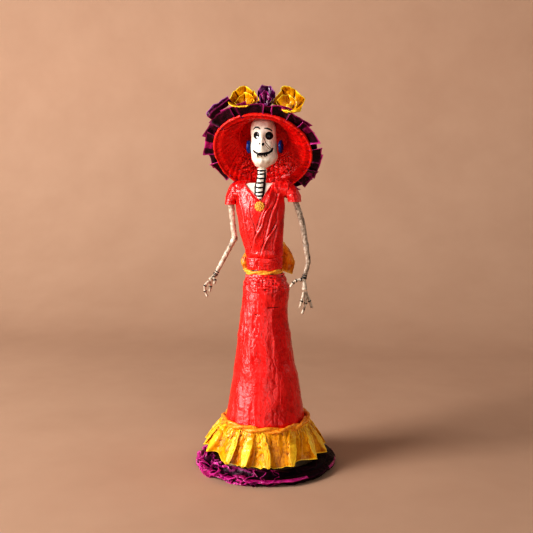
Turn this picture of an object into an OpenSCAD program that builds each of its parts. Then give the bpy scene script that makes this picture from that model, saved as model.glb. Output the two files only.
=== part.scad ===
/* [Base] */
// Radius of the cardboard base disc
base_r = 57.2; // [55:0.2:57.2]
// Thickness of the base disc
base_t = 3; // [2:0.5:4]
// Radius of the circle that the hem roll's middle follows
hem_ring_r = 63.6; // [63.6:0.1:65]
// Radius of the hem roll's own section
hem_roll_r = 6; // [5:0.5:6]

/* [Skirt] */
// Radius of the skirt at its lower edge
skirt_flare_r = 39.2; // [37:0.2:39.2]
// Radius of the skirt at the hips
skirt_hip_r = 22.8; // [22:0.2:24]
// Height of the skirt's lower edge above the table
skirt_edge_z = 49.2; // [49:0.2:52]
// Number of pleats in the flounce
flounce_pleats = 12; // [8:1:16]
// Height of the flounce's lower edge above the table
flounce_edge_z = 13; // [12.6:0.2:18]

/* [Waist] */
// Height of the belt cord above the table
belt_z = 196.8; // [196:0.2:197.2]
// Radius of the belt cord
belt_cord_r = 1.7; // [1.2:0.1:1.8]

/* [Bodice] */
// Thickness of the varnished paper skins
paper_t = 1; // [0.8:0.1:1.2]
// Radius of the brooch
brooch_r = 5; // [4:0.5:6]

/* [Head] */
// Radius of the spine wire
spine_wire_r = 1.2; // [1:0.1:1.4]
// Radial running clearance of the head on the spine wire, and of each arm eye on its wire
running_clearance = 0.06; // [0.03:0.01:0.09]
// Radius of an earring
earring_r = 6.4; // [5:0.2:7]

/* [Hat] */
// Backward tilt of the hat, in degrees
hat_tilt = 49.5; // [46:0.5:52]
// Radius of the brim
brim_r = 47; // [44:0.5:47]
// Depth of the brim's shallow bowl
brim_depth = 9; // [7:0.5:10]
// Inner radius of the crown
crown_r = 24.6; // [24.2:0.1:25]
// Number of pleats in the ruffle round the brim
ruffle_pleats = 22; // [16:1:26]
// Outer radius of the ruffle
ruffle_r = 57; // [54:0.5:58]

/* [Arms] */
// Radius of a paper-wrapped arm
arm_r = 2.3; // [2:0.1:2.4]
// Radius of the wire inside an arm, and of the shoulder wire
arm_wire_r = 0.9; // [0.8:0.1:1]
// Radius of a finger
finger_r = 1.05; // [0.9:0.05:1.2]

/* [Hidden] */
$fn = 48;

// Gap between papers that are glued face to face
glue_gap = 0.12;

// Frame points: the front of the figure faces -Y, and +X is the figure's left
hips_x = -1;
head_axis_x = -4;
shoulder_y = 3;
shoulder_z = 271;
neck_top_z = 296.6;
spine_bend_low_z = 202;
spine_bend_high_z = 262;
spine_top_z = 326;

// Elbow pins, the turning circle that each eye fills, and the space between two eyes on one pin
elbow_pin_r = 0.7;
eye_r = 2.3;
eye_w = 1.7;
eye_space = 0.8;
shoulder_eye_r = 2.6;
shoulder_eye_w = 2.2;
wire_bore_gap = 0.06;

// Right arm (the figure's own right), from the shoulder eye to the finger tips
shoulder_right = [-36.9, shoulder_y, shoulder_z];
elbow_right = [-32.4, 0, 228.5];
wrist_right = [-51.2, -6, 192];
knuckles_right = [-56, -8.6, 187];
thumb_right_path = [[-51.6, -9.6, 190], [-50, -12, 187.5], [-50.4, -13, 183.6]];
index_right_path = [[-57.6, -10.4, 185.4], [-60.2, -11.5, 182],
    [-60.2, -11.5, 176.5], [-57.6, -11.5, 170.6]];
middle_right_path = [[-56.6, -7.4, 185.6], [-56, -5.8, 180.6], [-56.7, -6.2, 175]];

// Left arm
shoulder_left = [27.2, shoulder_y, shoulder_z];
elbow_left = [39.6, -3, 223];
forearm_bend_left = [42.2, -5, 207];
wrist_left = [38.6, -9, 190.8];
knuckles_left = [39.9, -11, 179.6];
thumb_left_path = [[35.8, -11.4, 190.2], [31.5, -13, 189.4], [28.7, -14, 187.2], [25.9, -15, 182.9]];
index_left_path = [[38, -13.2, 176.8], [37.3, -14.2, 169.7], [35.4, -15, 162.6]];
middle_left_path = [[40.6, -11, 175.6], [40.8, -11.2, 167.2], [37.4, -12, 156.2]];
little_left_path = [[42.6, -9, 176.9], [44.2, -8, 169], [46.6, -7, 161.6]];

// Hat frame: middle of the brim, and the crown's offset in the brim's own plane
hat_origin = [-4.5, 0, 313];
crown_shift = [1.5, -6, 0];
crown_wall_h = 18;
crown_dome_h = 9;
rim_roll_r = 1.8;

// Rings of the skirt: height, middle in x, middle in y, radius in x, radius in y
skirt_rings = [
    [skirt_edge_z, hips_x, 0, skirt_flare_r, skirt_flare_r],
    [77, hips_x, 0, 34.4, 34.4],
    [94, hips_x, 0, 31.4, 31.4],
    [108, -2, 0, 29, 29],
    [121, -2.2, 0, 27, 27],
    [137, -2.7, 0, 25.2, 24.6],
    [152, -2.7, 0, 23.2, 22.6],
    [164, -1.6, 0, 22.4, 21.6],
    [174, -0.2, 0, skirt_hip_r, 21.4],
    [180, 0, 0, 22.3, 20.6],
    [187, -0.2, 0, 20.4, 18.4],
    [194.8, -2.2, 0, 16.6, 14.2]];

// Rings of the torso in the same form
torso_rings = [
    [198.9, -2.2, 0, 15.6, 12.4],
    [206, -2.1, 0, 15.9, 12.6],
    [212.5, -2.1, 0, 17.4, 13.4],
    [222.5, -3.2, -0.3, 19.5, 13.8],
    [232, -4.5, -0.6, 21.2, 14.2],
    [245, -5, -0.9, 22.7, 14.6],
    [262, -6, -1, 24.2, 14.4],
    [270, -6, -0.6, 23.4, 13],
    [277, -5.9, 0, 22.9, 11],
    [282, -5.8, 0.4, 20.2, 8.4],
    [285, -5.6, 0.6, 13, 6.6]];
shoulder_slope_z = 275;
neck_foot_z = torso_rings[9][0];

// Half outline of the cardboard skirt core: radius and height, from the base disc up to the hips
core_profile = [[42, base_t + glue_gap], [35.4, 50], [27, 94], [19.6, 137], [14.4, 160], [11.6, 190]];
core_wall = 2;

// Lowest tip of the neckline and its two upper corners, in x and z
neckline_tip = [-3.4, 266.4];
neckline_right = [-22.6, 284.8];
neckline_left = [7.8, 284.8];

// Trim: middles of the brooch's back, the bow's knot and loops, the earrings and the flowers' feet
brooch_at = [-3.9, -15.6, 261.5];
knot_at = [-3, 18.6, 203];
loop_right_at = [-6.9, 20.4, 203];
loop_left_at = [0.9, 20.4, 203];
earring_w = 2.2;
earring_right_at = [-17, -1, 319];
earring_left_at = [8.5, -1, 319];
flower_right_at = [-18, -23, 351];
flower_purple_at = [4, -23, 351];
flower_left_at = [25.4, -23, 350];
leaf_corners = [[-58.5, -25, 346], [-55.5, -27, 342.5], [-46.5, -27, 357], [-43, -26, 349.6]];

waistband_rings = [
    [199.4, -2.2, 0, 17, 13.8],
    [205, -2.1, 0, 17.2, 14],
    [209.4, -2.1, 0, 18, 14.6]];

sleeve_right_rings = [
    [262.8, -36.5, shoulder_y, 5.1, 7.9],
    [266, -36.2, shoulder_y, 5.5, 8.5],
    [271, -35, shoulder_y, 5.9, 8.8],
    [277, -33.4, shoulder_y, 5.8, 8.2],
    [282, -31.4, shoulder_y, 4.6, 6.4],
    [285, -29.6, shoulder_y, 2.6, 3.6]];

sleeve_left_rings = [
    [266, 27.8, shoulder_y, 5.8, 8],
    [270, 27.3, shoulder_y, 6.1, 8.6],
    [275, 25.3, shoulder_y, 6.1, 8.7],
    [280, 22.6, shoulder_y, 5.4, 7.4],
    [284.6, 19.6, shoulder_y, 3, 4]];

paper_red = "#d3191a";
cord_orange = "#ee8a16";
petal_yellow = "#ecb41c";
ruffle_purple = "#5d0b3a";
bone_white = "#efe6d4";
wire_grey = "#8d8d8d";
card_brown = "#b08a5a";
news_grey = "#c9c3b4";
earring_blue = "#14256e";

/* Shape helpers */

// The same rings with their radii changed by d
function grown(rings, d) = [for (r = rings) [r[0], r[1], r[2], r[3] + d, r[4] + d]];

// The same rings run past both ends by e, for cutting a hollow right through
function run_past(rings, e) = let (a = rings[0], b = rings[len(rings) - 1]) concat(
    [[a[0] - e, a[1], a[2], a[3], a[4]]], rings, [[b[0] + e, b[1], b[2], b[3], b[4]]]);

// The torso shrunk by d, with its shoulder slope lowered by d as well
function torso_inside(d) = [for (r = torso_rings)
    [r[0] - (r[0] > shoulder_slope_z ? d : 0), r[1], r[2], r[3] - d, r[4] - d]];

// Closed solid through a stack of level elliptical rings
module loft(rings, sides = 36) {
    points = [for (r = rings) for (i = [0:sides - 1])
        [r[1] + r[3] * cos(360 * i / sides), r[2] + r[4] * sin(360 * i / sides), r[0]]];
    lower = [for (k = [0:len(rings) - 2]) for (i = [0:sides - 1])
        [k * sides + i, (k + 1) * sides + i, (k + 1) * sides + (i + 1) % sides]];
    upper = [for (k = [0:len(rings) - 2]) for (i = [0:sides - 1])
        [k * sides + i, (k + 1) * sides + (i + 1) % sides, k * sides + (i + 1) % sides]];
    bottom = [[for (i = [0:sides - 1]) i]];
    top = [[for (i = [sides - 1:-1:0]) (len(rings) - 1) * sides + i]];
    polyhedron(points = points, faces = concat(lower, upper, bottom, top));
}

// Closed ring through the sections of a pleated strip, each a loop of points
module pleated_ring(sections) {
    n = len(sections);
    m = len(sections[0]);
    points = [for (s = sections) for (p = s) p];
    first = [for (i = [0:n - 1]) for (j = [0:m - 1])
        [i * m + j, i * m + (j + 1) % m, (i + 1) % n * m + (j + 1) % m]];
    second = [for (i = [0:n - 1]) for (j = [0:m - 1])
        [i * m + j, (i + 1) % n * m + (j + 1) % m, (i + 1) % n * m + j]];
    polyhedron(points = points, faces = concat(first, second));
}

// Point at angle a, distance r from the axis and height z
function around(a, r, z) = [r * cos(a), r * sin(a), z];

// Straight round bar from p to q, which may taper from r to r_end
module bar(p, q, r, r_end = undef) {
    d = q - p;
    translate(p)
        rotate([0, acos(d[2] / norm(d)), atan2(d[1], d[0])])
            cylinder(h = norm(d), r1 = r, r2 = r_end == undef ? r : r_end);
}

// Point on the way from p to q, at distance d from p
function along(p, q, d) = p + (q - p) * d / norm(q - p);

// Chain of bars with a knuckle at every bend and a rounded tip
module knuckled(path, r) {
    knuckle = 1.2;
    for (i = [0:len(path) - 2])
        bar(path[i], path[i + 1], r);
    for (i = [1:len(path) - 1])
        translate(path[i])
            sphere(r = r * knuckle);
}

// Disc of radius r and width w with its axis along Y, centred at p
module disc_y(p, r, w) {
    translate([p[0], p[1] + w / 2, p[2]])
        rotate([90, 0, 0])
            cylinder(h = w, r = r);
}

// Bar of radius r along X from x0 to x1 at the shoulder line
module shoulder_bar(x0, x1, r) {
    translate([x0, shoulder_y, shoulder_z])
        rotate([0, 90, 0])
            cylinder(h = x1 - x0, r = r);
}

// Everything drawn in the hat's own frame, +Z along the crown
module on_hat() {
    translate(hat_origin)
        rotate([-hat_tilt, 0, 0])
            children();
}

/* Base and skirt */

module base_disc() {
    color(card_brown)
        difference() {
            cylinder(h = base_t, r = base_r);
            translate([hips_x, 0, base_t / 2])
                cylinder(h = base_t, r = spine_wire_r + wire_bore_gap);
        }
}

module hem_roll() {
    color(ruffle_purple)
        translate([0, 0, hem_roll_r + 0.2])
            rotate_extrude()
                translate([hem_ring_r, 0])
                    circle(r = hem_roll_r);
}

module flounce() {
    top_r = 43.2;
    top_z = 43.8;
    mid_r = 49;
    mid_z = 31;
    edge_r = 54.2;
    fold = 3.4;
    steps = flounce_pleats * 8;
    color(petal_yellow)
        translate([hips_x, 0, 0])
            pleated_ring([for (i = [0:steps - 1])
                let (a = 360 * i / steps, w = fold * sin(flounce_pleats * a))
                [around(a, top_r + paper_t, top_z),
                 around(a, mid_r + w * 0.7 + paper_t, mid_z),
                 around(a, edge_r + w + paper_t, flounce_edge_z),
                 around(a, edge_r + w, flounce_edge_z),
                 around(a, mid_r + w * 0.7, mid_z),
                 around(a, top_r, top_z)]]);
}

module skirt_band() {
    band_r = 2.6;
    color(cord_orange)
        translate([hips_x, 0, skirt_edge_z - 1.8])
            rotate_extrude()
                translate([skirt_flare_r + 2.6, 0])
                    circle(r = band_r);
}

module skirt() {
    color(paper_red)
        difference() {
            loft(skirt_rings);
            loft(run_past(grown(skirt_rings, -paper_t), 1));
        }
}

// The skirt core as a solid of revolution, its radii changed by d and its two ends moved by low and high
module core_solid(d, low, high) {
    last = len(core_profile) - 1;
    outline = [for (i = [0:last]) [core_profile[i][0] + d,
        core_profile[i][1] + (i == 0 ? low : i == last ? high : 0)]];
    rotate_extrude()
        polygon(concat([[0, outline[0][1]]], outline, [[0, outline[last][1]]]));
}

module skirt_core() {
    color(card_brown)
        translate([hips_x, 0, 0])
            difference() {
                core_solid(0, 0, 0);
                core_solid(-core_wall, -1, -core_wall);
                cylinder(h = belt_z, r = spine_wire_r + wire_bore_gap);
            }
}

module hip_stuffing() {
    hip_rings = [for (r = skirt_rings) if (r[0] > 130) r];
    color(news_grey)
        difference() {
            loft(grown(hip_rings, -paper_t - glue_gap));
            translate([hips_x, 0, 0])
                core_solid(glue_gap, 0, 0);
            translate([hips_x, 0, belt_z - 10])
                cylinder(h = 20, r = spine_wire_r + wire_bore_gap);
        }
}

module spine_path(r) {
    low = [hips_x, 0, spine_bend_low_z];
    high = [head_axis_x, 0, spine_bend_high_z];
    bar([hips_x, 0, base_t / 2], low, r);
    bar(low, high, r);
    bar(high, [head_axis_x, 0, spine_top_z], r);
    for (p = [low, high])
        translate(p)
            sphere(r = r * 1.15);
}

module spine_wire() {
    color(wire_grey)
        spine_path(spine_wire_r);
}

/* Torso */

module torso_core() {
    core = torso_inside(paper_t + glue_gap);
    waist = core[0];
    color(news_grey)
        difference() {
            loft(concat([[195.2, waist[1], waist[2], waist[3] - 1.4, waist[4] - 1.4]], core));
            spine_path(spine_wire_r + wire_bore_gap);
            shoulder_bar(-60, 60, arm_wire_r + wire_bore_gap);
        }
}

module neckline(inset) {
    translate([0, 1, 0])
        rotate([90, 0, 0])
            linear_extrude(height = 30)
                polygon([neckline_tip + [0, 2.2 * inset], neckline_right + [1.4 * inset, 0],
                         neckline_right + [1.4 * inset, 8], neckline_left + [-1.4 * inset, 8],
                         neckline_left + [-1.4 * inset, 0]]);
}

module bodice() {
    color(paper_red)
        difference() {
            loft(torso_rings);
            loft(concat([[190, -2.2, 0, 15.6 - paper_t, 12.4 - paper_t]], torso_inside(paper_t)));
            neckline(0);
            translate([head_axis_x, 0, spine_bend_high_z])
                cylinder(h = 40, r = 5.2 + glue_gap);
            shoulder_bar(-60, 60, arm_wire_r + wire_bore_gap);
        }
}

module chest() {
    color(bone_white)
        intersection() {
            neckline(glue_gap);
            difference() {
                loft(torso_rings);
                loft(torso_inside(paper_t));
                translate([head_axis_x, 0, spine_bend_high_z])
                    cylinder(h = 40, r = 5.2 + glue_gap);
            }
        }
}

module waistband() {
    color(paper_red)
        difference() {
            loft(waistband_rings);
            loft([for (r = run_past(waistband_rings, 1)) [r[0], r[1], r[2], r[3] - 1.1, r[4] - 1.1]]);
            loft(grown(torso_rings, glue_gap));
        }
}

module belt_cord() {
    steps = 48;
    sides = 8;
    half_w = 17.2;
    half_d = 14.2;
    color(cord_orange)
        translate([-2.6, 0, belt_z])
            pleated_ring([for (i = [0:steps - 1]) let (a = 360 * i / steps)
                [for (j = [0:sides - 1]) let (b = 360 * j / sides)
                    [(half_w + belt_cord_r * cos(b)) * cos(a),
                     (half_d + belt_cord_r * cos(b)) * sin(a),
                     -belt_cord_r * sin(b)]]]);
}

module bow_knot() {
    color(cord_orange)
        translate(knot_at)
            scale(0.9)
                intersection() {
                    cube([8, 5, 11], center = true);
                    sphere(r = 5.6);
                }
}

// Paper loop of one side of the bow, flaring away from the knot along +X
module bow_loop(reach, top_rise, low_drop) {
    loft_d = 5.4;
    intersection() {
        translate([0, 0, -20])
            linear_extrude(height = 50)
                difference() {
                    hull() {
                        translate([1, 0])
                            circle(r = 1.2);
                        translate([reach - loft_d, 0])
                            circle(r = loft_d);
                    }
                    hull() {
                        translate([3, 0])
                            circle(r = 0.6);
                        translate([reach - loft_d, 0])
                            circle(r = loft_d - paper_t);
                    }
                }
        translate([0, 10, 0])
            rotate([90, 0, 0])
                linear_extrude(height = 20)
                    polygon([[0, 3], [reach * 0.62, top_rise], [reach, top_rise * 0.1],
                             [reach * 0.9, -low_drop], [reach * 0.4, -low_drop * 0.7], [0, -3]]);
    }
}

module bow_loop_right() {
    color(petal_yellow)
        translate(loop_right_at)
            mirror([1, 0, 0])
                bow_loop(22.5, 16, 9);
}

module bow_loop_left() {
    color(petal_yellow)
        translate(loop_left_at)
            bow_loop(24.5, 19.5, 12);
}

module brooch() {
    petals = 8;
    color(cord_orange)
        translate(brooch_at)
            rotate([90, 0, 0])
                union() {
                    cylinder(h = 1.4, r = brooch_r * 0.8);
                    for (i = [0:petals - 1])
                        rotate([0, 0, 360 * i / petals])
                            translate([brooch_r * 0.7, 0, 0])
                                cylinder(h = 1.1, r = brooch_r * 0.3);
                }
}

module neck() {
    color(bone_white)
        difference() {
            translate([head_axis_x, 0, neck_foot_z])
                cylinder(h = neck_top_z - neck_foot_z, r1 = 5.2, r2 = 4.7);
            translate([head_axis_x, 0, spine_bend_high_z])
                cylinder(h = 40, r = spine_wire_r + wire_bore_gap);
            loft(torso_inside(paper_t));
        }
}

module shoulder_wire() {
    color(wire_grey)
        shoulder_bar(shoulder_right[0] - 1.8, shoulder_left[0] + 1.8, arm_wire_r);
}

module sleeve(rings) {
    hollow = grown(rings, -paper_t);
    mouth_ring = hollow[0] - [1, 0, 0, 0, 0];
    crown_ring = hollow[len(hollow) - 1] - [paper_t, 0, 0, 0, 0];
    difference() {
        loft(rings, 24);
        loft(concat([mouth_ring], [for (i = [0:len(hollow) - 2]) hollow[i]], [crown_ring]), 24);
        loft(grown(torso_rings, glue_gap));
    }
}

module sleeve_right() {
    color(paper_red)
        difference() {
            sleeve(sleeve_right_rings);
            shoulder_bar(-33, -20, arm_wire_r + wire_bore_gap);
        }
}

module sleeve_left() {
    color(paper_red)
        difference() {
            sleeve(sleeve_left_rings);
            shoulder_bar(10, 25, arm_wire_r + wire_bore_gap);
        }
}

/* Head and hat */

skull_x = -3.2;
occiput = [skull_x, 3.6, 330.5];
occiput_r = 12.2;

module skull_solid(extra) {
    translate([skull_x, 0, 0])
        rotate_extrude()
            polygon([[0, 301.4 - extra], [7.4 + extra, 301.4 - extra], [10.4 + extra, 306],
                     [11.4 + extra, 314], [11.5 + extra, 322], [12.3 + extra, 330],
                     [12 + extra, 336], [10 + extra, 342], [6 + extra, 346 + extra],
                     [0, 347 + extra]]);
    translate([skull_x, -4.2, 307.7])
        sphere(r = 10.4 + extra);
    translate(occiput)
        sphere(r = occiput_r + extra);
}

module skull() {
    color(bone_white)
        difference() {
            skull_solid(0);
            translate([head_axis_x, 0, 280])
                cylinder(h = spine_top_z - 280 + 1, r = spine_wire_r + running_clearance);
        }
}

module hat_pad() {
    pad_r = 7.5;
    color(news_grey)
        difference() {
            on_hat()
                translate(crown_shift + [0, 0, 16])
                    cylinder(h = crown_wall_h + crown_dome_h - 16 - glue_gap, r = pad_r);
            skull_solid(glue_gap);
            on_hat()
                crown_hollow(-glue_gap, 100);
        }
}

// What lies outside the crown's inner face, as a solid to cut with
module crown_hollow(gap, reach) {
    translate(crown_shift)
        difference() {
            cylinder(h = reach, r = reach);
            translate([0, 0, -1])
                rotate_extrude()
                    crown_outline(crown_r + gap, gap);
        }
}

// Half outline of a straight wall with a low dome, from its axis out to r
module crown_outline(r, gap) {
    top = crown_wall_h + crown_dome_h + gap;
    polygon([[0, 0], [r, 0], [r, crown_wall_h + 1], [r * 0.94, crown_wall_h + crown_dome_h * 0.5 + 1],
             [r * 0.72, top - 0.4], [r * 0.4, top + 0.9], [0, top + 1.3]]);
}

module hat_crown() {
    start_z = 3.6;
    color(paper_red)
        on_hat()
            translate(crown_shift)
                difference() {
                    translate([0, 0, -1])
                        rotate_extrude()
                            crown_outline(crown_r + 1.4, 1.4);
                    translate([0, 0, -1])
                        rotate_extrude()
                            crown_outline(crown_r, 0);
                    translate([0, 0, -10])
                        cylinder(h = 10 + start_z, r = 60);
                }
}

// Half outline of the brim's sheet between radius 0 and the rim
function bowl_z(r) = brim_depth * (1 - pow(r / brim_r, 2));

module hat_brim() {
    sheet_t = 1.5;
    steps = 8;
    inner_r = 12;
    span = brim_r - inner_r;
    color(paper_red)
        on_hat()
            difference() {
                union() {
                    rotate_extrude()
                        polygon(concat(
                            [for (i = [0:steps]) let (r = inner_r + span * i / steps) [r, bowl_z(r)]],
                            [for (i = [steps:-1:0]) let (r = inner_r + span * i / steps)
                                [r, bowl_z(r) + sheet_t]]));
                    rotate_extrude()
                        translate([brim_r, 0.6])
                            circle(r = rim_roll_r);
                }
                translate(crown_shift + [0, 0, -20])
                    cylinder(h = 60, r = crown_r + 1.4 + glue_gap);
            }
}

module brim_ruffle() {
    steps = ruffle_pleats * 6;
    inner_r = brim_r + rim_roll_r + 0.5;
    fold = 2.6;
    color(ruffle_purple)
        on_hat()
            pleated_ring([for (i = [0:steps - 1])
                let (a = 360 * i / steps, w = fold * sin(ruffle_pleats * a))
                [around(a, inner_r, 1),
                 around(a, inner_r, 2),
                 around(a, ruffle_r - 0.8 * w, 4.2 + w),
                 around(a, ruffle_r - 0.8 * w, 3.2 + w)]]);
}

module hat_leaf() {
    tip_r = 0.7;
    color(ruffle_purple)
        hull()
            for (p = leaf_corners)
                translate(p)
                    sphere(r = tip_r, $fn = 16);
}

// Crumpled paper flower that opens upward from a round foot glued to the back of the brim
module flower(p, r, h, petals) {
    foot_r = 3;
    foot_h = 7.4;
    bud_h = (h - foot_h) / 2;
    translate(p)
        union() {
            cylinder(h = foot_h + 0.2, r = foot_r);
            translate([0, 0, foot_h])
                cylinder(h = bud_h, r1 = r * 0.4, r2 = r, $fn = petals);
            translate([0, 0, foot_h + bud_h])
                cylinder(h = bud_h, r1 = r, r2 = r * 0.45, $fn = petals);
        }
}

module flower_yellow_right() {
    color(petal_yellow)
        flower(flower_right_at, 13, 25.5, 10);
}

module flower_purple() {
    color(ruffle_purple)
        flower(flower_purple_at, 7.6, 25.5, 8);
}

module flower_yellow_left() {
    color(petal_yellow)
        flower(flower_left_at, 13, 25, 10);
}

module earring(p) {
    color(earring_blue)
        translate(p)
            rotate([0, 90, 0])
                cylinder(h = earring_w, r = earring_r);
}

module earring_right() {
    difference() {
        earring(earring_right_at);
        skull_solid(glue_gap);
    }
}

module earring_left() {
    difference() {
        earring(earring_left_at);
        skull_solid(glue_gap);
    }
}

/* Arms */

// Upper arm wire: an eye that hangs on the shoulder wire and an eye in front of the elbow's middle
module upper_wire(shoulder, elbow) {
    eye_y = -(eye_w + eye_space) / 2;
    elbow_eye = elbow + [0, eye_y, 0];
    color(wire_grey)
        difference() {
            union() {
                translate([shoulder[0] - shoulder_eye_w / 2, shoulder[1], shoulder[2]])
                    rotate([0, 90, 0])
                        cylinder(h = shoulder_eye_w, r = shoulder_eye_r);
                bar(along(shoulder, elbow_eye, 1.6), along(elbow_eye, shoulder, 1.6), arm_wire_r);
                disc_y(elbow_eye, eye_r, eye_w);
            }
            translate([shoulder[0] - 5, shoulder[1], shoulder[2]])
                rotate([0, 90, 0])
                    cylinder(h = 10, r = arm_wire_r + running_clearance);
            disc_y(elbow, elbow_pin_r + wire_bore_gap, 10);
        }
}

module upper_arm(shoulder, elbow) {
    elbow_eye = elbow + [0, -(eye_w + eye_space) / 2, 0];
    top_end = along(shoulder, elbow_eye, shoulder_eye_r + 0.5);
    low_end = along(elbow_eye, shoulder, eye_r + 0.9);
    color(bone_white)
        difference() {
            bar(top_end, low_end, arm_r);
            bar(shoulder, elbow_eye, arm_wire_r + wire_bore_gap);
        }
}

module elbow_pin(elbow) {
    half = eye_w + eye_space / 2;
    head_t = 0.5;
    color(wire_grey)
        union() {
            disc_y(elbow, elbow_pin_r, 2 * (half + head_t));
            disc_y(elbow + [0, half + 0.1 + head_t / 2, 0], elbow_pin_r * 1.8, head_t);
            disc_y(elbow - [0, half + 0.1 + head_t / 2, 0], elbow_pin_r * 1.8, head_t);
        }
}

// Forearm wire along a path that starts at the elbow's middle and ends in the palm
module forearm_wire(path) {
    elbow = path[0];
    elbow_eye = elbow + [0, (eye_w + eye_space) / 2, 0];
    color(wire_grey)
        difference() {
            union() {
                disc_y(elbow_eye, eye_r, eye_w);
                bar(along(elbow_eye, path[1], 1.6), path[1], arm_wire_r);
                for (i = [1:len(path) - 2])
                    bar(path[i], path[i + 1], arm_wire_r);
                for (i = [1:len(path) - 2])
                    translate(path[i])
                        sphere(r = arm_wire_r * 1.1);
            }
            disc_y(elbow, elbow_pin_r + running_clearance, 10);
        }
}

module forearm(path, wrist_r) {
    elbow_eye = path[0] + [0, (eye_w + eye_space) / 2, 0];
    last = len(path) - 1;
    color(bone_white)
        difference() {
            union() {
                bar(along(elbow_eye, path[1], eye_r + 0.9), path[1], arm_r, last > 1 ? arm_r : wrist_r);
                for (i = [1:1:last - 1])
                    bar(path[i], path[i + 1], arm_r, wrist_r);
                for (i = [1:1:last - 1])
                    translate(path[i])
                        sphere(r = arm_r * 1.06);
            }
            bar(elbow_eye, path[1], arm_wire_r + wire_bore_gap);
            for (i = [1:1:last - 1])
                bar(path[i], along(path[i + 1], path[i], -1), arm_wire_r + wire_bore_gap);
            for (i = [1:1:last])
                translate(path[i])
                    sphere(r = arm_wire_r * 1.25);
        }
}

module palm(wrist, knuckles) {
    start = along(wrist, knuckles, 0.9);
    color(bone_white)
        difference() {
            bar(start, knuckles, 1.7, 2.1);
            bar(along(wrist, knuckles, -2), along(wrist, knuckles, 3.4), arm_wire_r + wire_bore_gap);
            translate(wrist)
                sphere(r = arm_wire_r * 1.25);
        }
}

// A finger whose root is cut back so that it meets the palm face to face
module finger(path, wrist, knuckles, r) {
    color(bone_white)
        difference() {
            knuckled(path, r);
            bar(along(wrist, knuckles, -3), knuckles, 1.7 + 3 * glue_gap, 2.1 + glue_gap);
        }
}

forearm_path_right = [elbow_right, wrist_right];
forearm_path_left = [elbow_left, forearm_bend_left, wrist_left];
palm_wire_depth = 3;

module upper_wire_right() {
    upper_wire(shoulder_right, elbow_right);
}

module upper_arm_right() {
    upper_arm(shoulder_right, elbow_right);
}

module elbow_pin_right() {
    elbow_pin(elbow_right);
}

module forearm_wire_right() {
    forearm_wire(concat(forearm_path_right, [along(wrist_right, knuckles_right, palm_wire_depth)]));
}

module forearm_right() {
    forearm(forearm_path_right, 1.8);
}

module palm_right() {
    palm(wrist_right, knuckles_right);
}

module thumb_right() {
    finger(thumb_right_path, wrist_right, knuckles_right, finger_r);
}

module index_finger_right() {
    finger(index_right_path, wrist_right, knuckles_right, finger_r);
}

module middle_finger_right() {
    finger(middle_right_path, wrist_right, knuckles_right, finger_r);
}

module upper_wire_left() {
    upper_wire(shoulder_left, elbow_left);
}

module upper_arm_left() {
    upper_arm(shoulder_left, elbow_left);
}

module elbow_pin_left() {
    elbow_pin(elbow_left);
}

module forearm_wire_left() {
    forearm_wire(concat(forearm_path_left, [along(wrist_left, knuckles_left, palm_wire_depth)]));
}

module forearm_left() {
    forearm(forearm_path_left, 1.8);
}

module palm_left() {
    palm(wrist_left, knuckles_left);
}

module thumb_left() {
    finger(thumb_left_path, wrist_left, knuckles_left, finger_r);
}

module index_finger_left() {
    finger(index_left_path, wrist_left, knuckles_left, finger_r);
}

module middle_finger_left() {
    finger(middle_left_path, wrist_left, knuckles_left, finger_r);
}

module little_finger_left() {
    finger(little_left_path, wrist_left, knuckles_left, finger_r);
}

base_disc();
hem_roll();
flounce();
skirt_band();
skirt();
skirt_core();
hip_stuffing();
spine_wire();
torso_core();
bodice();
chest();
waistband();
belt_cord();
bow_knot();
bow_loop_right();
bow_loop_left();
brooch();
neck();
shoulder_wire();
sleeve_right();
sleeve_left();
skull();
hat_pad();
hat_crown();
hat_brim();
brim_ruffle();
hat_leaf();
flower_yellow_right();
flower_purple();
flower_yellow_left();
earring_right();
earring_left();
upper_wire_right();
upper_arm_right();
elbow_pin_right();
forearm_wire_right();
forearm_right();
palm_right();
thumb_right();
index_finger_right();
middle_finger_right();
upper_wire_left();
upper_arm_left();
elbow_pin_left();
forearm_wire_left();
forearm_left();
palm_left();
thumb_left();
index_finger_left();
middle_finger_left();
little_finger_left();
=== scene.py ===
"""Looks of the papier-mache catrina figure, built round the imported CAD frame.

Lengths are written in millimetres and turned into metres when a mesh is made. +Z is up, the figure
faces -Y, and +X is the figure's own left.
"""
import math

import bmesh
import bpy
import numpy as np
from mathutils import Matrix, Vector
from mathutils.bvhtree import BVHTree


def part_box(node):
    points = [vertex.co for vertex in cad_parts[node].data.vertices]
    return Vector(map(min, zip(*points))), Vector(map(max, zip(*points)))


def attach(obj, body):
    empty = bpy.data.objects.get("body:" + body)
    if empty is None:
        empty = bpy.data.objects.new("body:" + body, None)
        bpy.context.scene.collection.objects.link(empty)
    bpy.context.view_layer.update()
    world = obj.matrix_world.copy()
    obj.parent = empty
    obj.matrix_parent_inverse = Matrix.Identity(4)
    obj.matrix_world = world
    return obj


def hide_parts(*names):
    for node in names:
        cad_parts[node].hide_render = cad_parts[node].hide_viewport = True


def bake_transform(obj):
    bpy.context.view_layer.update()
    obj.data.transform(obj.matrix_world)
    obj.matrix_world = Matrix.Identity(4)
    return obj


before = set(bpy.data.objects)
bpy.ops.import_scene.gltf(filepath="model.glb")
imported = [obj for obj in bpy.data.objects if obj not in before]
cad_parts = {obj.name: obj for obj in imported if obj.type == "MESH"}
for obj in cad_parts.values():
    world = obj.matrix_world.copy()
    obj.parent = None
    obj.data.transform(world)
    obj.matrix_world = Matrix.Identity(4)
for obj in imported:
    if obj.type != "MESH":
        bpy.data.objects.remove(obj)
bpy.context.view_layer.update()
MM = 0.001
TAU = 2 * math.pi

# ---------------------------------------------------------------- camera, floor and light

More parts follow.
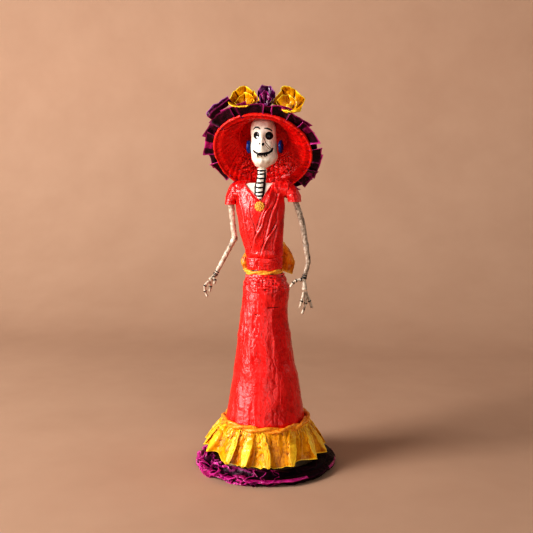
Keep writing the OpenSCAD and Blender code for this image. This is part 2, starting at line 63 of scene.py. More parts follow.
CAMERA_AZIMUTH = 10
CAMERA_DISTANCE = 800
CAMERA_HEIGHT = 300
CAMERA_PITCH = 7.05
CAMERA_LENS = 54.7


def add_camera():
    azimuth, pitch = math.radians(CAMERA_AZIMUTH), math.radians(CAMERA_PITCH)
    camera = bpy.data.objects.new("camera", bpy.data.cameras.new("camera"))
    camera.data.lens = CAMERA_LENS
    camera.data.sensor_width = 36
    camera.data.clip_start = 0.01
    camera.location = Vector((CAMERA_DISTANCE * math.sin(azimuth), -CAMERA_DISTANCE * math.cos(azimuth),
        CAMERA_HEIGHT)) * MM
    camera.rotation_euler = (math.pi / 2 - pitch, 0, azimuth)
    bpy.context.scene.collection.objects.link(camera)
    bpy.context.scene.camera = camera


def add_light(name, place, aim, size, power, colour=(1, 1, 1)):
    light = bpy.data.objects.new(name, bpy.data.lights.new(name, "AREA"))
    light.data.size = size
    light.data.energy = power
    light.data.color = colour
    light.location = place
    light.rotation_euler = (Vector(aim) - Vector(place)).to_track_quat("-Z", "Y").to_euler()
    bpy.context.scene.collection.objects.link(light)


def add_world(strength, colour):
    world = bpy.data.worlds.new("studio")
    world.use_nodes = True
    background = world.node_tree.nodes["Background"]
    background.inputs["Color"].default_value = (*colour, 1)
    background.inputs["Strength"].default_value = strength
    bpy.context.scene.world = world


FIGURE_MIDDLE = (0, 0, 0.2)
add_camera()
add_light("key", (-1.2, -0.75, 0.95), FIGURE_MIDDLE, 0.65, 20, (1, 0.97, 0.93))
add_light("window", (-1.7, -0.95, 0.34), FIGURE_MIDDLE, 1.3, 28, (1, 0.95, 0.95))
add_light("side", (1.3, 0.55, 0.75), FIGURE_MIDDLE, 0.8, 2, (1, 0.97, 0.95))
add_light("fill", (0.5, -1.6, 0.55), FIGURE_MIDDLE, 1.3, 7, (1, 0.96, 0.92))
add_light("back", (0.3, 1.2, 1.0), (0, 0, 0.25), 0.8, 2.2)
add_world(0.1, (1, 0.97, 0.94))
bpy.context.scene.view_settings.view_transform = "Standard"
bpy.context.scene.view_settings.look = "High Contrast"

# ---------------------------------------------------------------- numbers and noise


def corner_value(ix, iy, iz, seed):
    """A repeatable number from -1 to 1 for each corner of the noise lattice."""
    h = (ix * 374761393 + iy * 668265263 + iz * 974634777 + seed * 1442695041) & 0xFFFFFFFF
    h = ((h ^ (h >> 13)) * 1274126177) & 0xFFFFFFFF
    h = ((h ^ (h >> 16)) * 2246822519) & 0xFFFFFFFF
    return (h ^ (h >> 15)) / 2147483647.5 - 1


def noise(points, size, seed=0, stretch=(1, 1, 1)):
    """Smooth noise from about -1 to 1 at (n, 3) points, with features of the given size."""
    q = np.asarray(points, float) / (size * np.asarray(stretch, float))
    cell = np.floor(q).astype(np.int64)
    f = q - cell
    f = f * f * f * (f * (f * 6 - 15) + 10)
    total = 0
    for dx in (0, 1):
        for dy in (0, 1):
            for dz in (0, 1):
                weight = ((f[..., 0] if dx else 1 - f[..., 0]) * (f[..., 1] if dy else 1 - f[..., 1])
                    * (f[..., 2] if dz else 1 - f[..., 2]))
                total = total + weight * corner_value(cell[..., 0] + dx, cell[..., 1] + dy,
                    cell[..., 2] + dz, seed)
    return total


def creases(points, size, seed=0, stretch=(1, 1, 1), octaves=3):
    """Crumpled paper: 0 on flat facets and up to 1 on sharp ridges."""
    total, weight, scale = 0, 0, 1
    for octave in range(octaves):
        ridge = 1 - np.abs(noise(points, size * scale, seed + 17 * octave, stretch)) * 2.2
        total = total + np.clip(ridge, -1, 1) * scale
        weight += scale
        scale *= 0.5
    return total / weight


def smoothstep(edge0, edge1, x):
    t = np.clip((np.asarray(x, float) - edge0) / (edge1 - edge0), 0, 1)
    return t * t * (3 - 2 * t)


def bump_at(x, centre, width):
    """A smooth hump of height 1 round centre."""
    return np.exp(-((np.asarray(x, float) - centre) / width) ** 2)


def down(first, last, count):
    """Evenly spread values as a column, which run down the rows of a lattice."""
    return np.linspace(first, last, count)[:, None]


def around(count):
    """Evenly spread angles of one turn as a row, which run over the columns of a lattice."""
    return np.linspace(0, TAU, count, endpoint=False)[None]


def xyz(x, y, z):
    """Points (..., 3) from coordinates of any shapes that fit together."""
    return np.stack(np.broadcast_arrays(x, y, z), -1)


def run_length(path):
    """Distance from the start of a path to each of its points."""
    return np.concatenate([[0], np.cumsum(np.linalg.norm(np.diff(path, axis=0), axis=1))])


def nearest_run(path, run, point):
    """How far along the path its nearest point to the given one lies."""
    return run[np.argmin(np.linalg.norm(path - point, axis=1))]


def smooth_path(points, count):
    """Catmull-Rom curve through the points, at count evenly spread stations."""
    p = np.asarray(points, float)
    padded = np.vstack([2 * p[0] - p[1], p, 2 * p[-1] - p[-2]])
    spans = len(p) - 1
    dense = []
    for i in range(spans):
        t = np.linspace(0, 1, 24, endpoint=i == spans - 1)[:, None]
        a, b, c, d = padded[i:i + 4]
        dense.append(0.5 * (2 * b + (c - a) * t + (2 * a - 5 * b + 4 * c - d) * t ** 2
            + (3 * b - a - 3 * c + d) * t ** 3))
    dense = np.vstack(dense)
    run = run_length(dense[:, :3])
    stations = np.linspace(0, run[-1], count)
    return np.stack([np.interp(stations, run, dense[:, k]) for k in range(dense.shape[1])], 1)


# ---------------------------------------------------------------- mesh helpers


def make_mesh(name, verts, faces, materials, face_slots=None, sharp=None):
    """A mesh object from points in millimetres."""
    mesh = bpy.data.meshes.new(name)
    mesh.from_pydata([tuple(v) for v in np.asarray(verts, float) * MM], [], [tuple(f) for f in faces])
    mesh.validate()
    obj = bpy.data.objects.new(name, mesh)
    bpy.context.scene.collection.objects.link(obj)
    for material in materials if isinstance(materials, (list, tuple)) else [materials]:
        mesh.materials.append(material)
    if face_slots is not None:
        mesh.polygons.foreach_set("material_index", np.asarray(face_slots, np.int32))
    mesh.polygons.foreach_set("use_smooth", np.ones(len(mesh.polygons), bool))
    outward(obj)
    if sharp is not None:
        mesh.set_sharp_from_angle(angle=math.radians(sharp))
    return obj


def outward(obj):
    """Turns all faces of a closed mesh outward."""
    work = bmesh.new()
    work.from_mesh(obj.data)
    bmesh.ops.recalc_face_normals(work, faces=work.faces)
    work.to_mesh(obj.data)
    work.free()


def grid_faces(rows, cols, wrap_cols=True, wrap_rows=False, start=0):
    """Quads over a rows by cols lattice of points."""
    r = np.arange(rows if wrap_rows else rows - 1)
    c = np.arange(cols if wrap_cols else cols - 1)
    rr, cc = np.meshgrid(r, c, indexing="ij")
    r2, c2 = (rr + 1) % rows, (cc + 1) % cols
    quads = np.stack([rr * cols + cc, rr * cols + c2, r2 * cols + c2, r2 * cols + cc], -1)
    return (quads.reshape(-1, 4) + start).tolist()


def closed_tube(points):
    """Points (rows, cols, 3) as a closed skin: verts and faces, with a fan cap at each end."""
    rows, cols, _ = points.shape
    low_middle, high_middle, last = rows * cols, rows * cols + 1, (rows - 1) * cols
    faces = grid_faces(rows, cols)
    faces += [(low_middle, (c + 1) % cols, c) for c in range(cols)]
    faces += [(high_middle, last + c, last + (c + 1) % cols) for c in range(cols)]
    return np.vstack([points.reshape(-1, 3), points[0].mean(0), points[-1].mean(0)]), faces


def grid_normals(points, wrap_cols=True):
    """Unit normals of a (rows, cols, 3) lattice."""
    along = np.gradient(points, axis=0)
    if wrap_cols:
        across = (np.roll(points, -1, 1) - np.roll(points, 1, 1)) / 2
    else:
        across = np.gradient(points, axis=1)
    normal = np.cross(across, along)
    length = np.linalg.norm(normal, axis=-1, keepdims=True)
    return normal / np.maximum(length, 1e-9)


def thick_sheet(outer, thickness, wrap_cols=True):
    """Verts and faces of a sheet given by its outer lattice, with its second face behind it."""
    rows, cols, _ = outer.shape
    inner = outer - grid_normals(outer, wrap_cols) * thickness
    verts = np.vstack([outer.reshape(-1, 3), inner.reshape(-1, 3)])
    half = rows * cols
    faces = grid_faces(rows, cols, wrap_cols)
    faces += [tuple(reversed(f)) for f in grid_faces(rows, cols, wrap_cols, start=half)]
    ring = list(range(cols)) if wrap_cols else list(range(cols - 1))
    for row in (0, rows - 1):
        for c in ring:
            a, b = row * cols + c, row * cols + (c + 1) % cols
            faces.append((a, b, b + half, a + half) if row else (b, a, a + half, b + half))
    if not wrap_cols:
        for r in range(rows - 1):
            for c in (0, cols - 1):
                a, b = r * cols + c, (r + 1) * cols + c
                faces.append((a, b, b + half, a + half) if c == 0 else (b, a, a + half, b + half))
    return verts, faces


def path_frames(path):
    """Unit side and up vectors that turn as little as possible along a path."""
    tangent = np.gradient(path, axis=0)
    tangent /= np.linalg.norm(tangent, axis=1, keepdims=True)
    side = np.cross(tangent[0], (0, 1, 0.01))
    if np.linalg.norm(side) < 0.2:
        side = np.cross(tangent[0], (1, 0, 0))
    sides = []
    for t in tangent:
        side = side - t * side.dot(t)
        side = side / np.linalg.norm(side)
        sides.append(side)
    sides = np.array(sides)
    return sides, np.cross(tangent, sides)


def tube_points(path, radii, cols):
    """Lattice of a round tube along a path."""
    side, up = path_frames(path)
    angle = around(cols)[..., None]
    radii = np.broadcast_to(np.asarray(radii, float), (len(path),))
    ring = np.cos(angle) * side[:, None] + np.sin(angle) * up[:, None]
    return path[:, None] + radii[:, None, None] * ring


def join_meshes(parts):
    """Several (verts, faces) pairs as one."""
    verts, faces, start = [], [], 0
    for v, f in parts:
        verts.append(np.asarray(v, float))
        faces += [tuple(i + start for i in face) for face in f]
        start += len(v)
    return np.vstack(verts), faces


def place(obj, body, *nodes):
    """Rides the piece on a body and lets it stand for CAD nodes."""
    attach(obj, body)
    if nodes:
        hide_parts(*nodes)
    return obj


def box_mm(node):
    low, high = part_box(node)
    return np.array(low) / MM, np.array(high) / MM


def box_mid(node, axis):
    low, high = box_mm(node)
    return (low[axis] + high[axis]) / 2


def box_core(node):
    """Middle and half size of a node's box in millimetres."""
    low, high = box_mm(node)
    return (low + high) / 2, (high - low) / 2


def cad_rings(node, grow=0.0):
    """Level rings of a lofted CAD node: height, middle x, middle y, radius x, radius y."""
    co = np.array([v.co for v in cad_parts[node].data.vertices]) / MM
    rings = []
    for z in sorted(set(np.round(co[:, 2], 2))):
        ring = co[np.abs(co[:, 2] - z) < 0.02]
        low, high = ring.min(0), ring.max(0)
        if (high - low)[:2].min() > 8:
            rings.append([z, (low[0] + high[0]) / 2, (low[1] + high[1]) / 2, (high[0] - low[0]) / 2 + grow,
                (high[1] - low[1]) / 2 + grow])
    return np.array(rings)


def ring_at(rings, z):
    """Ring values at heights z, on a smooth curve through the rings."""
    z = np.asarray(z, float)
    values = []
    for k in range(1, 5):
        slope = np.gradient(rings[:, k], rings[:, 0])
        i = np.clip(np.searchsorted(rings[:, 0], z) - 1, 0, len(rings) - 2)
        z0, z1 = rings[i, 0], rings[i + 1, 0]
        h, t = z1 - z0, np.clip((z - z0) / (z1 - z0), 0, 1)
        values.append((2 * t ** 3 - 3 * t ** 2 + 1) * rings[i, k] + (t ** 3 - 2 * t ** 2 + t) * h * slope[i]
            + (3 * t ** 2 - 2 * t ** 3) * rings[i + 1, k] + (t ** 3 - t ** 2) * h * slope[i + 1])
    return values


def ring_surface(rings, a, z, grow=0.0):
    """The surface through the rings at angles a and heights z."""
    cx, cy, rx, ry = ring_at(rings, z)
    return xyz(cx + (rx + grow) * np.cos(a), cy + (ry + grow) * np.sin(a), z)


def level_rays(a):
    """Unit vectors that point straight out at angles a."""
    return xyz(np.cos(a), np.sin(a), 0)


def ball(rows, cols, pole, first=0.0):
    """Unit ball as a lattice of points, whose rows run from pole to pole along the axis given."""
    u, b = down(first, math.pi - first, rows), around(cols)
    values = [np.sin(u) * np.cos(b), np.sin(u) * np.sin(b)]
    values.insert(pole, np.cos(u))
    return xyz(*values)


def nudge(points, amount, share=(1, 1, 1)):
    """Moves lattice points by an amount each, shared out over the three axes."""
    points += np.asarray(amount)[..., None] * np.array(share, float)


# ---------------------------------------------------------------- materials


def new_material(name):
    material = bpy.data.materials.new(name)
    material.use_nodes = True
    tree = material.node_tree
    return material, tree, tree.nodes["Principled BSDF"]


def set_inputs(tree, node, values):
    """Links outputs to a node's inputs, or sets plain values there."""
    for socket, value in values.items():
        if isinstance(value, bpy.types.NodeSocket):
            tree.links.new(value, node.inputs[socket])
        else:
            node.inputs[socket].default_value = value
    return node


def add_node(tree, kind, values):
    return set_inputs(tree, tree.nodes.new(f"ShaderNode{kind}"), values)


def object_position(tree, scale, stretch=(1, 1, 1)):
    """Object coordinates scaled to the given features per millimetre."""
    position = tree.nodes.new("ShaderNodeTexCoord").outputs["Object"]
    values = {"Vector": position, "Scale": [scale * s / MM for s in stretch]}
    return add_node(tree, "Mapping", values).outputs["Vector"]


def noise_node(tree, vector, detail=4, roughness=0.6, distortion=0.0):
    values = {"Vector": vector, "Scale": 1, "Detail": detail, "Roughness": roughness,
        "Distortion": distortion}
    return add_node(tree, "TexNoise", values).outputs["Fac"]


def ramp(tree, source, stops):
    node = tree.nodes.new("ShaderNodeValToRGB")
    elements = node.color_ramp.elements
    while len(elements) < len(stops):
        elements.new(0.5)
    for element, (position, colour) in zip(elements, stops):
        element.position = position
        element.color = (*colour, 1)
    tree.links.new(source, node.inputs["Fac"])
    return node.outputs["Color"]


def mix(tree, factor, under, paint):
    """Paint over a colour output, as thick as the factor output says."""
    node = tree.nodes.new("ShaderNodeMix")
    node.data_type = "RGBA"
    return set_inputs(tree, node, {0: factor, 6: under, 7: (*paint, 1)}).outputs[2]


def spread(tree, source, low, high, out_low=0.0, out_high=1.0):
    """An output whose range from low to high is stretched to the new range."""
    return add_node(tree, "MapRange", {0: source, 1: low, 2: high, 3: out_low, 4: out_high}).outputs[0]


def add_bump(tree, shader, heights):
    """Bump nodes in a chain, one for each (height output, depth in millimetres)."""
    normal = {}
    for height, depth in heights:
        node = add_node(tree, "Bump", {"Distance": depth * MM, "Strength": 1, "Height": height, **normal})
        normal = {"Normal": node.outputs["Normal"]}
    set_inputs(tree, shader, normal)


def pointiness(tree, low, high):
    geometry = tree.nodes.new("ShaderNodeNewGeometry")
    return spread(tree, geometry.outputs["Pointiness"], low, high)


def painted_paper(name, deep, main, light, streak=(1, 1, 0.35), patch=0.06, ridge=None, crease_shade=None,
        rough=(0.18, 0.34), coat=0.1, wrinkle=0.16, gloss=0.24, coat_rough=0.1):
    """Brushed paint over wrinkled paper strips under glossy varnish, painted shade in creases and painted
    highlights on ridges.
    """
    material, tree, shader = new_material(name)
    blotches = noise_node(tree, object_position(tree, patch), 5, 0.62, 0.6)
    colour = ramp(tree, blotches, [(0.3, deep), (0.5, main), (0.74, light)])
    strokes = noise_node(tree, object_position(tree, patch * 6, streak), 4, 0.65, 0.3)
    colour = mix(tree, spread(tree, strokes, 0.45, 0.75, 0, 0.45), colour, light)
    colour = mix(tree, spread(tree, strokes, 0.5, 0.25, 0, 0.4), colour, deep)
    # Painted shade: creases take the crease_shade colour. Painted highlight: sharp ridges take the ridge
    # colour.
    if crease_shade is not None:
        colour = mix(tree, pointiness(tree, 0.497, 0.46), colour, crease_shade)
    if ridge is not None:
        colour = mix(tree, pointiness(tree, 0.51, 0.56), colour, ridge)
    set_inputs(tree, shader, {"Base Color": colour, "Roughness": spread(tree, blotches, 0.3, 0.7, *rough),
        "Coat Weight": coat, "Coat Roughness": coat_rough, "Specular IOR Level": gloss})
    fine = noise_node(tree, object_position(tree, 0.9, streak), 5, 0.7, 0.4)
    folds = add_node(tree, "TexVoronoi", {"Vector": object_position(tree, 0.16, streak), "Scale": 1})
    folds.feature = "DISTANCE_TO_EDGE"
    crease = spread(tree, folds.outputs["Distance"], 0, 0.12)
    add_bump(tree, shader, [(crease, wrinkle * 0.8), (strokes, wrinkle), (fine, wrinkle * 0.25)])
    return material


def plain_core(name, colour, dark, rough, metal=0.0, scale=0.5):
    """Hidden card, newsprint and wire."""
    material, tree, shader = new_material(name)
    fibres = noise_node(tree, object_position(tree, scale), 5, 0.7)
    set_inputs(tree, shader, {"Base Color": ramp(tree, fibres, [(0.35, dark), (0.65, colour)]),
        "Roughness": spread(tree, fibres, 0.3, 0.7, rough, rough * 0.8), "Metallic": metal})
    add_bump(tree, shader, [(fibres, 0.08)])
    return material


# In each paint below, the crease_shade colour is painted shade in creases and the ridge colour is a painted
# highlight on ridges.
RED = painted_paper("red_varnished_paper", (0.44, 0.002, 0.002), (0.78, 0.005, 0.004), (0.88, 0.03, 0.025),
    crease_shade=(0.24, 0.001, 0.001), ridge=(0.93, 0.09, 0.08), streak=(1, 1, 0.5), rough=(0.2, 0.38),
    wrinkle=0.21, gloss=0.5, coat=0.3, coat_rough=0.24)
HAT_RED = painted_paper("red_hat_paper", (0.36, 0.002, 0.002), (0.72, 0.004, 0.003), (0.84, 0.02, 0.012),
    streak=(1, 1, 1), crease_shade=(0.16, 0.001, 0.001), ridge=(0.9, 0.06, 0.04), wrinkle=0.09)
# Painted shade: near black for the side of the hem away from the lamps.
HEM_SHADE = painted_paper("black_hem_painted_shade", (0.001, 0.0, 0.001), (0.003, 0.0, 0.002), (0.02, 0.001, 0.008),
    ridge=(0.07, 0.004, 0.03), patch=0.05, rough=(0.3, 0.5), coat=0.0, wrinkle=0.08, gloss=0.08)
YELLOW = painted_paper("yellow_varnished_paper", (0.36, 0.09, 0.002), (0.76, 0.3, 0.002),
    (0.9, 0.47, 0.005), crease_shade=(0.07, 0.012, 0.002), ridge=(0.95, 0.62, 0.05), patch=0.07)
PETAL = painted_paper("yellow_petal_paper", (0.28, 0.055, 0.002), (0.8, 0.35, 0.003), (0.93, 0.56, 0.008),
    crease_shade=(0.13, 0.02, 0.003), ridge=(0.98, 0.8, 0.08), patch=0.09)
PURPLE = painted_paper("purple_varnished_paper", (0.003, 0.0, 0.001), (0.02, 0.0006, 0.008),
    (0.1, 0.002, 0.038), crease_shade=(0.002, 0.0, 0.001), ridge=(0.26, 0.01, 0.12), patch=0.13, streak=(1, 1, 1),
    rough=(0.12, 0.26), coat=0.2)
HEM_PURPLE = painted_paper("purple_hem_paint", (0.002, 0.0, 0.001), (0.012, 0.0004, 0.006),
    (0.07, 0.002, 0.03), ridge=(0.2, 0.01, 0.1), patch=0.13, streak=(1, 1, 1), rough=(0.25, 0.45),
    coat=0.03, gloss=0.12)
# Magenta: painted highlight on the hem's crests and lip and on the ruffle's edges; on the purple flower it
# colours the inner cup.
MAGENTA = painted_paper("magenta_petal_and_highlight_paint", (0.04, 0.0, 0.016), (0.24, 0.003, 0.09), (0.5, 0.012, 0.2),
    crease_shade=(0.02, 0.0, 0.006), ridge=(0.62, 0.05, 0.32), patch=0.14, rough=(0.12, 0.26), coat=0.2)
# Lighter purple: the purple flower's paint, and a painted highlight on the leaf's edges.
PURPLE_LIT = painted_paper("purple_petal_and_leaf_highlight_paint", (0.012, 0.001, 0.01), (0.07, 0.004, 0.055),
    (0.2, 0.02, 0.16), ridge=(0.4, 0.14, 0.38), patch=0.14, rough=(0.12, 0.26), coat=0.2)
ORANGE = painted_paper("orange_painted_cord", (0.45, 0.06, 0.002), (0.84, 0.21, 0.004), (0.92, 0.37, 0.015),
    crease_shade=(0.26, 0.04, 0.003), ridge=(0.96, 0.56, 0.1), patch=0.12)
BOW = painted_paper("orange_bow_paper", (0.35, 0.045, 0.002), (0.8, 0.23, 0.004), (0.92, 0.42, 0.012),
    crease_shade=(0.22, 0.03, 0.003), ridge=(0.96, 0.62, 0.12), patch=0.1)
BONE = painted_paper("bone_white_paint", (0.62, 0.52, 0.4), (0.84, 0.78, 0.68), (0.93, 0.9, 0.83),
    crease_shade=(0.4, 0.3, 0.2), patch=0.1, rough=(0.25, 0.4), wrinkle=0.1)
ARM_BONE = painted_paper("arm_bone_paint", (0.1, 0.052, 0.03), (0.58, 0.47, 0.36), (0.86, 0.79, 0.7),
    crease_shade=(0.12, 0.05, 0.02), patch=0.2, rough=(0.25, 0.45), wrinkle=0.14)
# Painted shade: a darker, greyer copy of the arm paint for the left arm, which lies on the side away from
# the lamps.
ARM_SHADE = painted_paper("arm_painted_shade", (0.06, 0.03, 0.02), (0.36, 0.27, 0.2), (0.64, 0.54, 0.45),
    crease_shade=(0.08, 0.04, 0.02), patch=0.22, rough=(0.25, 0.45), wrinkle=0.14)
BLACK = painted_paper("black_brush_paint", (0.003, 0.003, 0.004), (0.006, 0.006, 0.008),
    (0.02, 0.02, 0.026), patch=0.2, rough=(0.15, 0.3), coat=0.1, wrinkle=0.04)
# Brown: painted shade on the cheek beside the nose, and the brooch's brown lines.
SHADE = painted_paper("brown_shade_and_line_paint", (0.1, 0.05, 0.035), (0.2, 0.11, 0.08), (0.34, 0.22, 0.16),
    patch=0.3, wrinkle=0.04)
GLINT = painted_paper("pale_blue_glint_paint", (0.35, 0.5, 0.65), (0.7, 0.82, 0.92), (0.9, 0.95, 1),
    patch=0.4, rough=(0.2, 0.3), wrinkle=0.03)
BLUE = painted_paper("cobalt_paint", (0.001, 0.001, 0.012), (0.001, 0.004, 0.05), (0.005, 0.02, 0.17),
    ridge=(0.01, 0.05, 0.3), patch=0.25, rough=(0.12, 0.3), coat=0.2, wrinkle=0.08)
GOLD = painted_paper("gold_brooch_paint", (0.16, 0.03, 0.003), (0.52, 0.17, 0.01), (0.72, 0.32, 0.03),
    crease_shade=(0.02, 0.004, 0.001), ridge=(0.85, 0.45, 0.08), patch=0.3, wrinkle=0.06)
CARD = plain_core("grey_card", (0.5, 0.37, 0.23), (0.38, 0.27, 0.16), 0.85)
NEWSPRINT = plain_core("newsprint_wad", (0.7, 0.68, 0.62), (0.45, 0.43, 0.4), 0.9)
WIRE = plain_core("drawn_wire", (0.6, 0.6, 0.6), (0.4, 0.4, 0.4), 0.35, metal=1.0, scale=2.0)


def floor_material():
    material, tree, shader = new_material("pale_backdrop")
    grain = noise_node(tree, object_position(tree, 0.01), 3)
    colour = ramp(tree, grain, [(0.3, (0.49, 0.32, 0.225)), (0.7, (0.52, 0.345, 0.245))])
    set_inputs(tree, shader, {"Base Color": colour, "Roughness": 0.8})
    return material


def add_backdrop():
    """One pale sheet that lies under the figure and rises smoothly behind it."""
    bend = np.linspace(0.1, math.pi / 2, 14)
    depth = np.concatenate([np.linspace(-9000, 500, 12), 500 + 500 * np.sin(bend), [1000, 1000]])
    rise = np.concatenate([np.zeros(12), 500 - 500 * np.cos(bend), [1500, 3000]])
    across = np.linspace(-7000, 7000, 9)
    points = xyz(across, depth[:, None], rise[:, None])
    backdrop = make_mesh("backdrop", points.reshape(-1, 3), grid_faces(*points.shape[:2], False),
        floor_material())


add_backdrop()

CORE_KINDS = {"base_disc": CARD, "skirt_core": CARD, "hip_stuffing": NEWSPRINT, "torso_core": NEWSPRINT,
    "hat_pad": NEWSPRINT}
for cad_node, cad_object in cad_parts.items():
    cad_object.data.materials.clear()
    cad_object.data.materials.append(CORE_KINDS.get(cad_node, WIRE))

# ---------------------------------------------------------------- base, flounce and skirt

SKIRT_RINGS = cad_rings("skirt")
TORSO_RINGS = cad_rings("torso_core", 1.1)


def build_hem_roll():
    """Folded purple paper round the base: a slope under the flounce, and a crumpled lip on the table."""
    middle, half = box_core("hem_roll")
    tube, ring_r = half[2], half[0] - half[2]
    inner = ring_r - tube + 0.15
    section = np.array([(inner, 1.2), (inner + 2.4, 0.2), (ring_r + 2.2, 0.2), (ring_r + tube - 0.6, 2.2),
        (ring_r + tube + 0.3, 5.2), (ring_r + 3.4, 8.4), (ring_r - 1.6, 11.4), (inner - 2.2, 12.2),
        (inner - 2.6, 8), (inner, 3.6), (inner, 1.2)])
    rows, cols = 620, 84
    profile = smooth_path(np.column_stack([section, np.zeros(len(section))]), cols + 1)[:-1]
    a = around(rows).T
    r, z = profile[None, :, 0] + 0 * a, profile[None, :, 1] + 0 * a
    rough = 0.16 + 1.0 * smoothstep(0.1, -0.6, np.cos(a - math.radians(12)))
    share = (np.arange(cols) / cols)[None]
    points = xyz(r * np.cos(a), r * np.sin(a), z)
    turn, across = a * ring_r / 15, share * 56 / 7
    folds = creases(xyz(turn + 0.3 * across, across - 0.5 * turn, 0), 1, 11, octaves=1)
    small = creases(xyz(1.3 * turn - 0.3 * across, across + 0.7 * turn, 0), 1, 23, octaves=1)
    lump = noise(points, 12, 31)
    away = np.stack([r - ring_r + 1, z - 5.5], -1)
    away /= np.linalg.norm(away, axis=-1, keepdims=True)
    strand = np.clip(np.maximum(folds, small), 0, 1) ** 2
    push = rough * (4.4 * strand - 2.2 + 1.2 * lump + 0.5 * creases(points, 3.6, 25)) + 0.9 * lump
    lip = bump_at(share, 0.36, 0.035)
    push = push + lip * (1.1 + 0.9 * noise(points, 16, 37)) - 1.3 * bump_at(share, 0.5, 0.07)
    r = r + push * away[..., 0]
    z = np.maximum(z + push * away[..., 1], 0.05)
    z = np.where(np.abs(r) < inner, np.minimum(z, 12.4), z)
    r = np.clip(r, inner - 3, middle[0] + half[0] + 2.5)
    points = xyz(r * np.cos(a), r * np.sin(a), z)
    # Painted light: toward the lamps the hem is purple, with magenta painted highlights on strand crests
    # and along the lip; the far side is painted near black as shade.
    left = smoothstep(0.25, -0.5, np.cos(a - math.radians(12)))
    shine = strand > 0.8 - 0.3 * left
    edge = (lip > 0.55) & (noise(points, 14, 39) > -0.1 - 0.6 * left)
    painted_highlight = (shine & (noise(points, 10, 40) > -0.1 - 0.5 * left) & (left > 0.05)) | edge
    slots = np.where(painted_highlight, 1, np.where(left + 0.25 * noise(points, 12, 44) > 0.62, 0, 2)).reshape(-1)
    roll = make_mesh("hem_roll_paper", points.reshape(-1, 3), grid_faces(rows, cols, True, True),
        [HEM_PURPLE, MAGENTA, HEM_SHADE], slots, 38)
    place(roll, "figure", "hem_roll")


FLOUNCE_RIDGES = (-147, -119, -102, -76, -53, -27, -6, 18, 41, 63, 88, 110, 132, 153, 176, 197)
FLOUNCE_LEANS = (0, 4, 4, -7, 9, 9, 2, 4, -5, 6, -4, 5, -6, 4, -3, 3)
FLOUNCE_TOP_R = 42.0
HEM_CLEAR_Z = 14.2


def build_flounce():
    """Gathered strip under the band: broad panels between sharp ridges that lean as they fall."""
    count = len(FLOUNCE_RIDGES)
    rng = np.random.default_rng(5)
    ridges = np.radians(np.array(FLOUNCE_RIDGES + (FLOUNCE_RIDGES[0] + 360,), float))
    leans = np.radians(np.array(FLOUNCE_LEANS + (FLOUNCE_LEANS[0],), float))
    strength = 0.85 + 0.35 * rng.random(count)
    strength = np.append(strength, strength[0])
    deep = 0.8 + 0.5 * rng.random(count)
    per_fold = 46
    which = np.repeat(np.arange(count), per_fold)
    phase = np.tile(np.arange(per_fold) / per_fold, count)
    base = ridges[which] + (ridges[which + 1] - ridges[which]) * phase
    lean = leans[which] + (leans[which + 1] - leans[which]) * smoothstep(0, 1, phase)
    peak = strength[which] + (strength[which + 1] - strength[which]) * phase
    dip = np.sqrt(np.sin(math.pi * phase ** 0.68) ** 2 + 0.02) ** 0.9
    near = np.minimum(phase, 1 - phase)
    v = down(0, 1, 34)
    angle = base[None] + lean[None] * (1 - v) ** 1.2
    fold_side = np.where(which % 2 == 0, 1, -1)
    hook = np.radians(4.2) * bump_at(near, 0, 0.16) * fold_side
    angle = angle + hook[None] * np.sin(v * math.pi) ** 0.8
    side = np.cos(base)[None] ** 2
    top_z = box_mm("flounce")[1][2] + 2.0
    lifted = 4.5 * bump_at(np.cos(base)[None], -0.9, 0.25) * (v > 0)
    edge_z = 11.2 + 5.6 * smoothstep(0.05, 0.9, side) + lifted
    edge_r = 54.6 + 4.6 * side
    r = FLOUNCE_TOP_R + (edge_r - FLOUNCE_TOP_R) * v ** 0.8
    out = peak[None] * (0.9 + 5.0 * v ** 0.8) - (1.4 + 7.6 * v ** 0.9) * (dip * deep[which])[None]
    tuck = (1 - v) ** 1.6
    gathers = np.abs(np.sin(base * 33 + 2 * noise(xyz(base * 9, 0, 0), 1, 3)))[None]
    r = r + out - 1.1 * tuck * gathers
    z = top_z + (edge_z - top_z) * v - 0.8 * out * v * 0.3
    points = xyz(r * np.cos(angle) + box_mid("flounce", 0), r * np.sin(angle), z)
    nudge(points, 0.6 * noise(points, 9, 5), (1, 1, 0.3))
    nudge(points, (0.4 + 1.3 * tuck) * creases(points, 4.6, 9), (0.8, 0.8, 0.3))
    reach = np.hypot(points[..., 0], points[..., 1])
    over_core = np.interp(points[..., 2], [10, 50], [44.5, 39.5])
    points[..., 2] += np.maximum(HEM_CLEAR_Z - points[..., 2], 0) * smoothstep(53, 56, reach)
    points[..., :2] *= (np.clip(reach, over_core, 66) / reach)[..., None]
    place(make_mesh("flounce_paper", *thick_sheet(points, 0.55), YELLOW, sharp=40), "figure", "flounce")


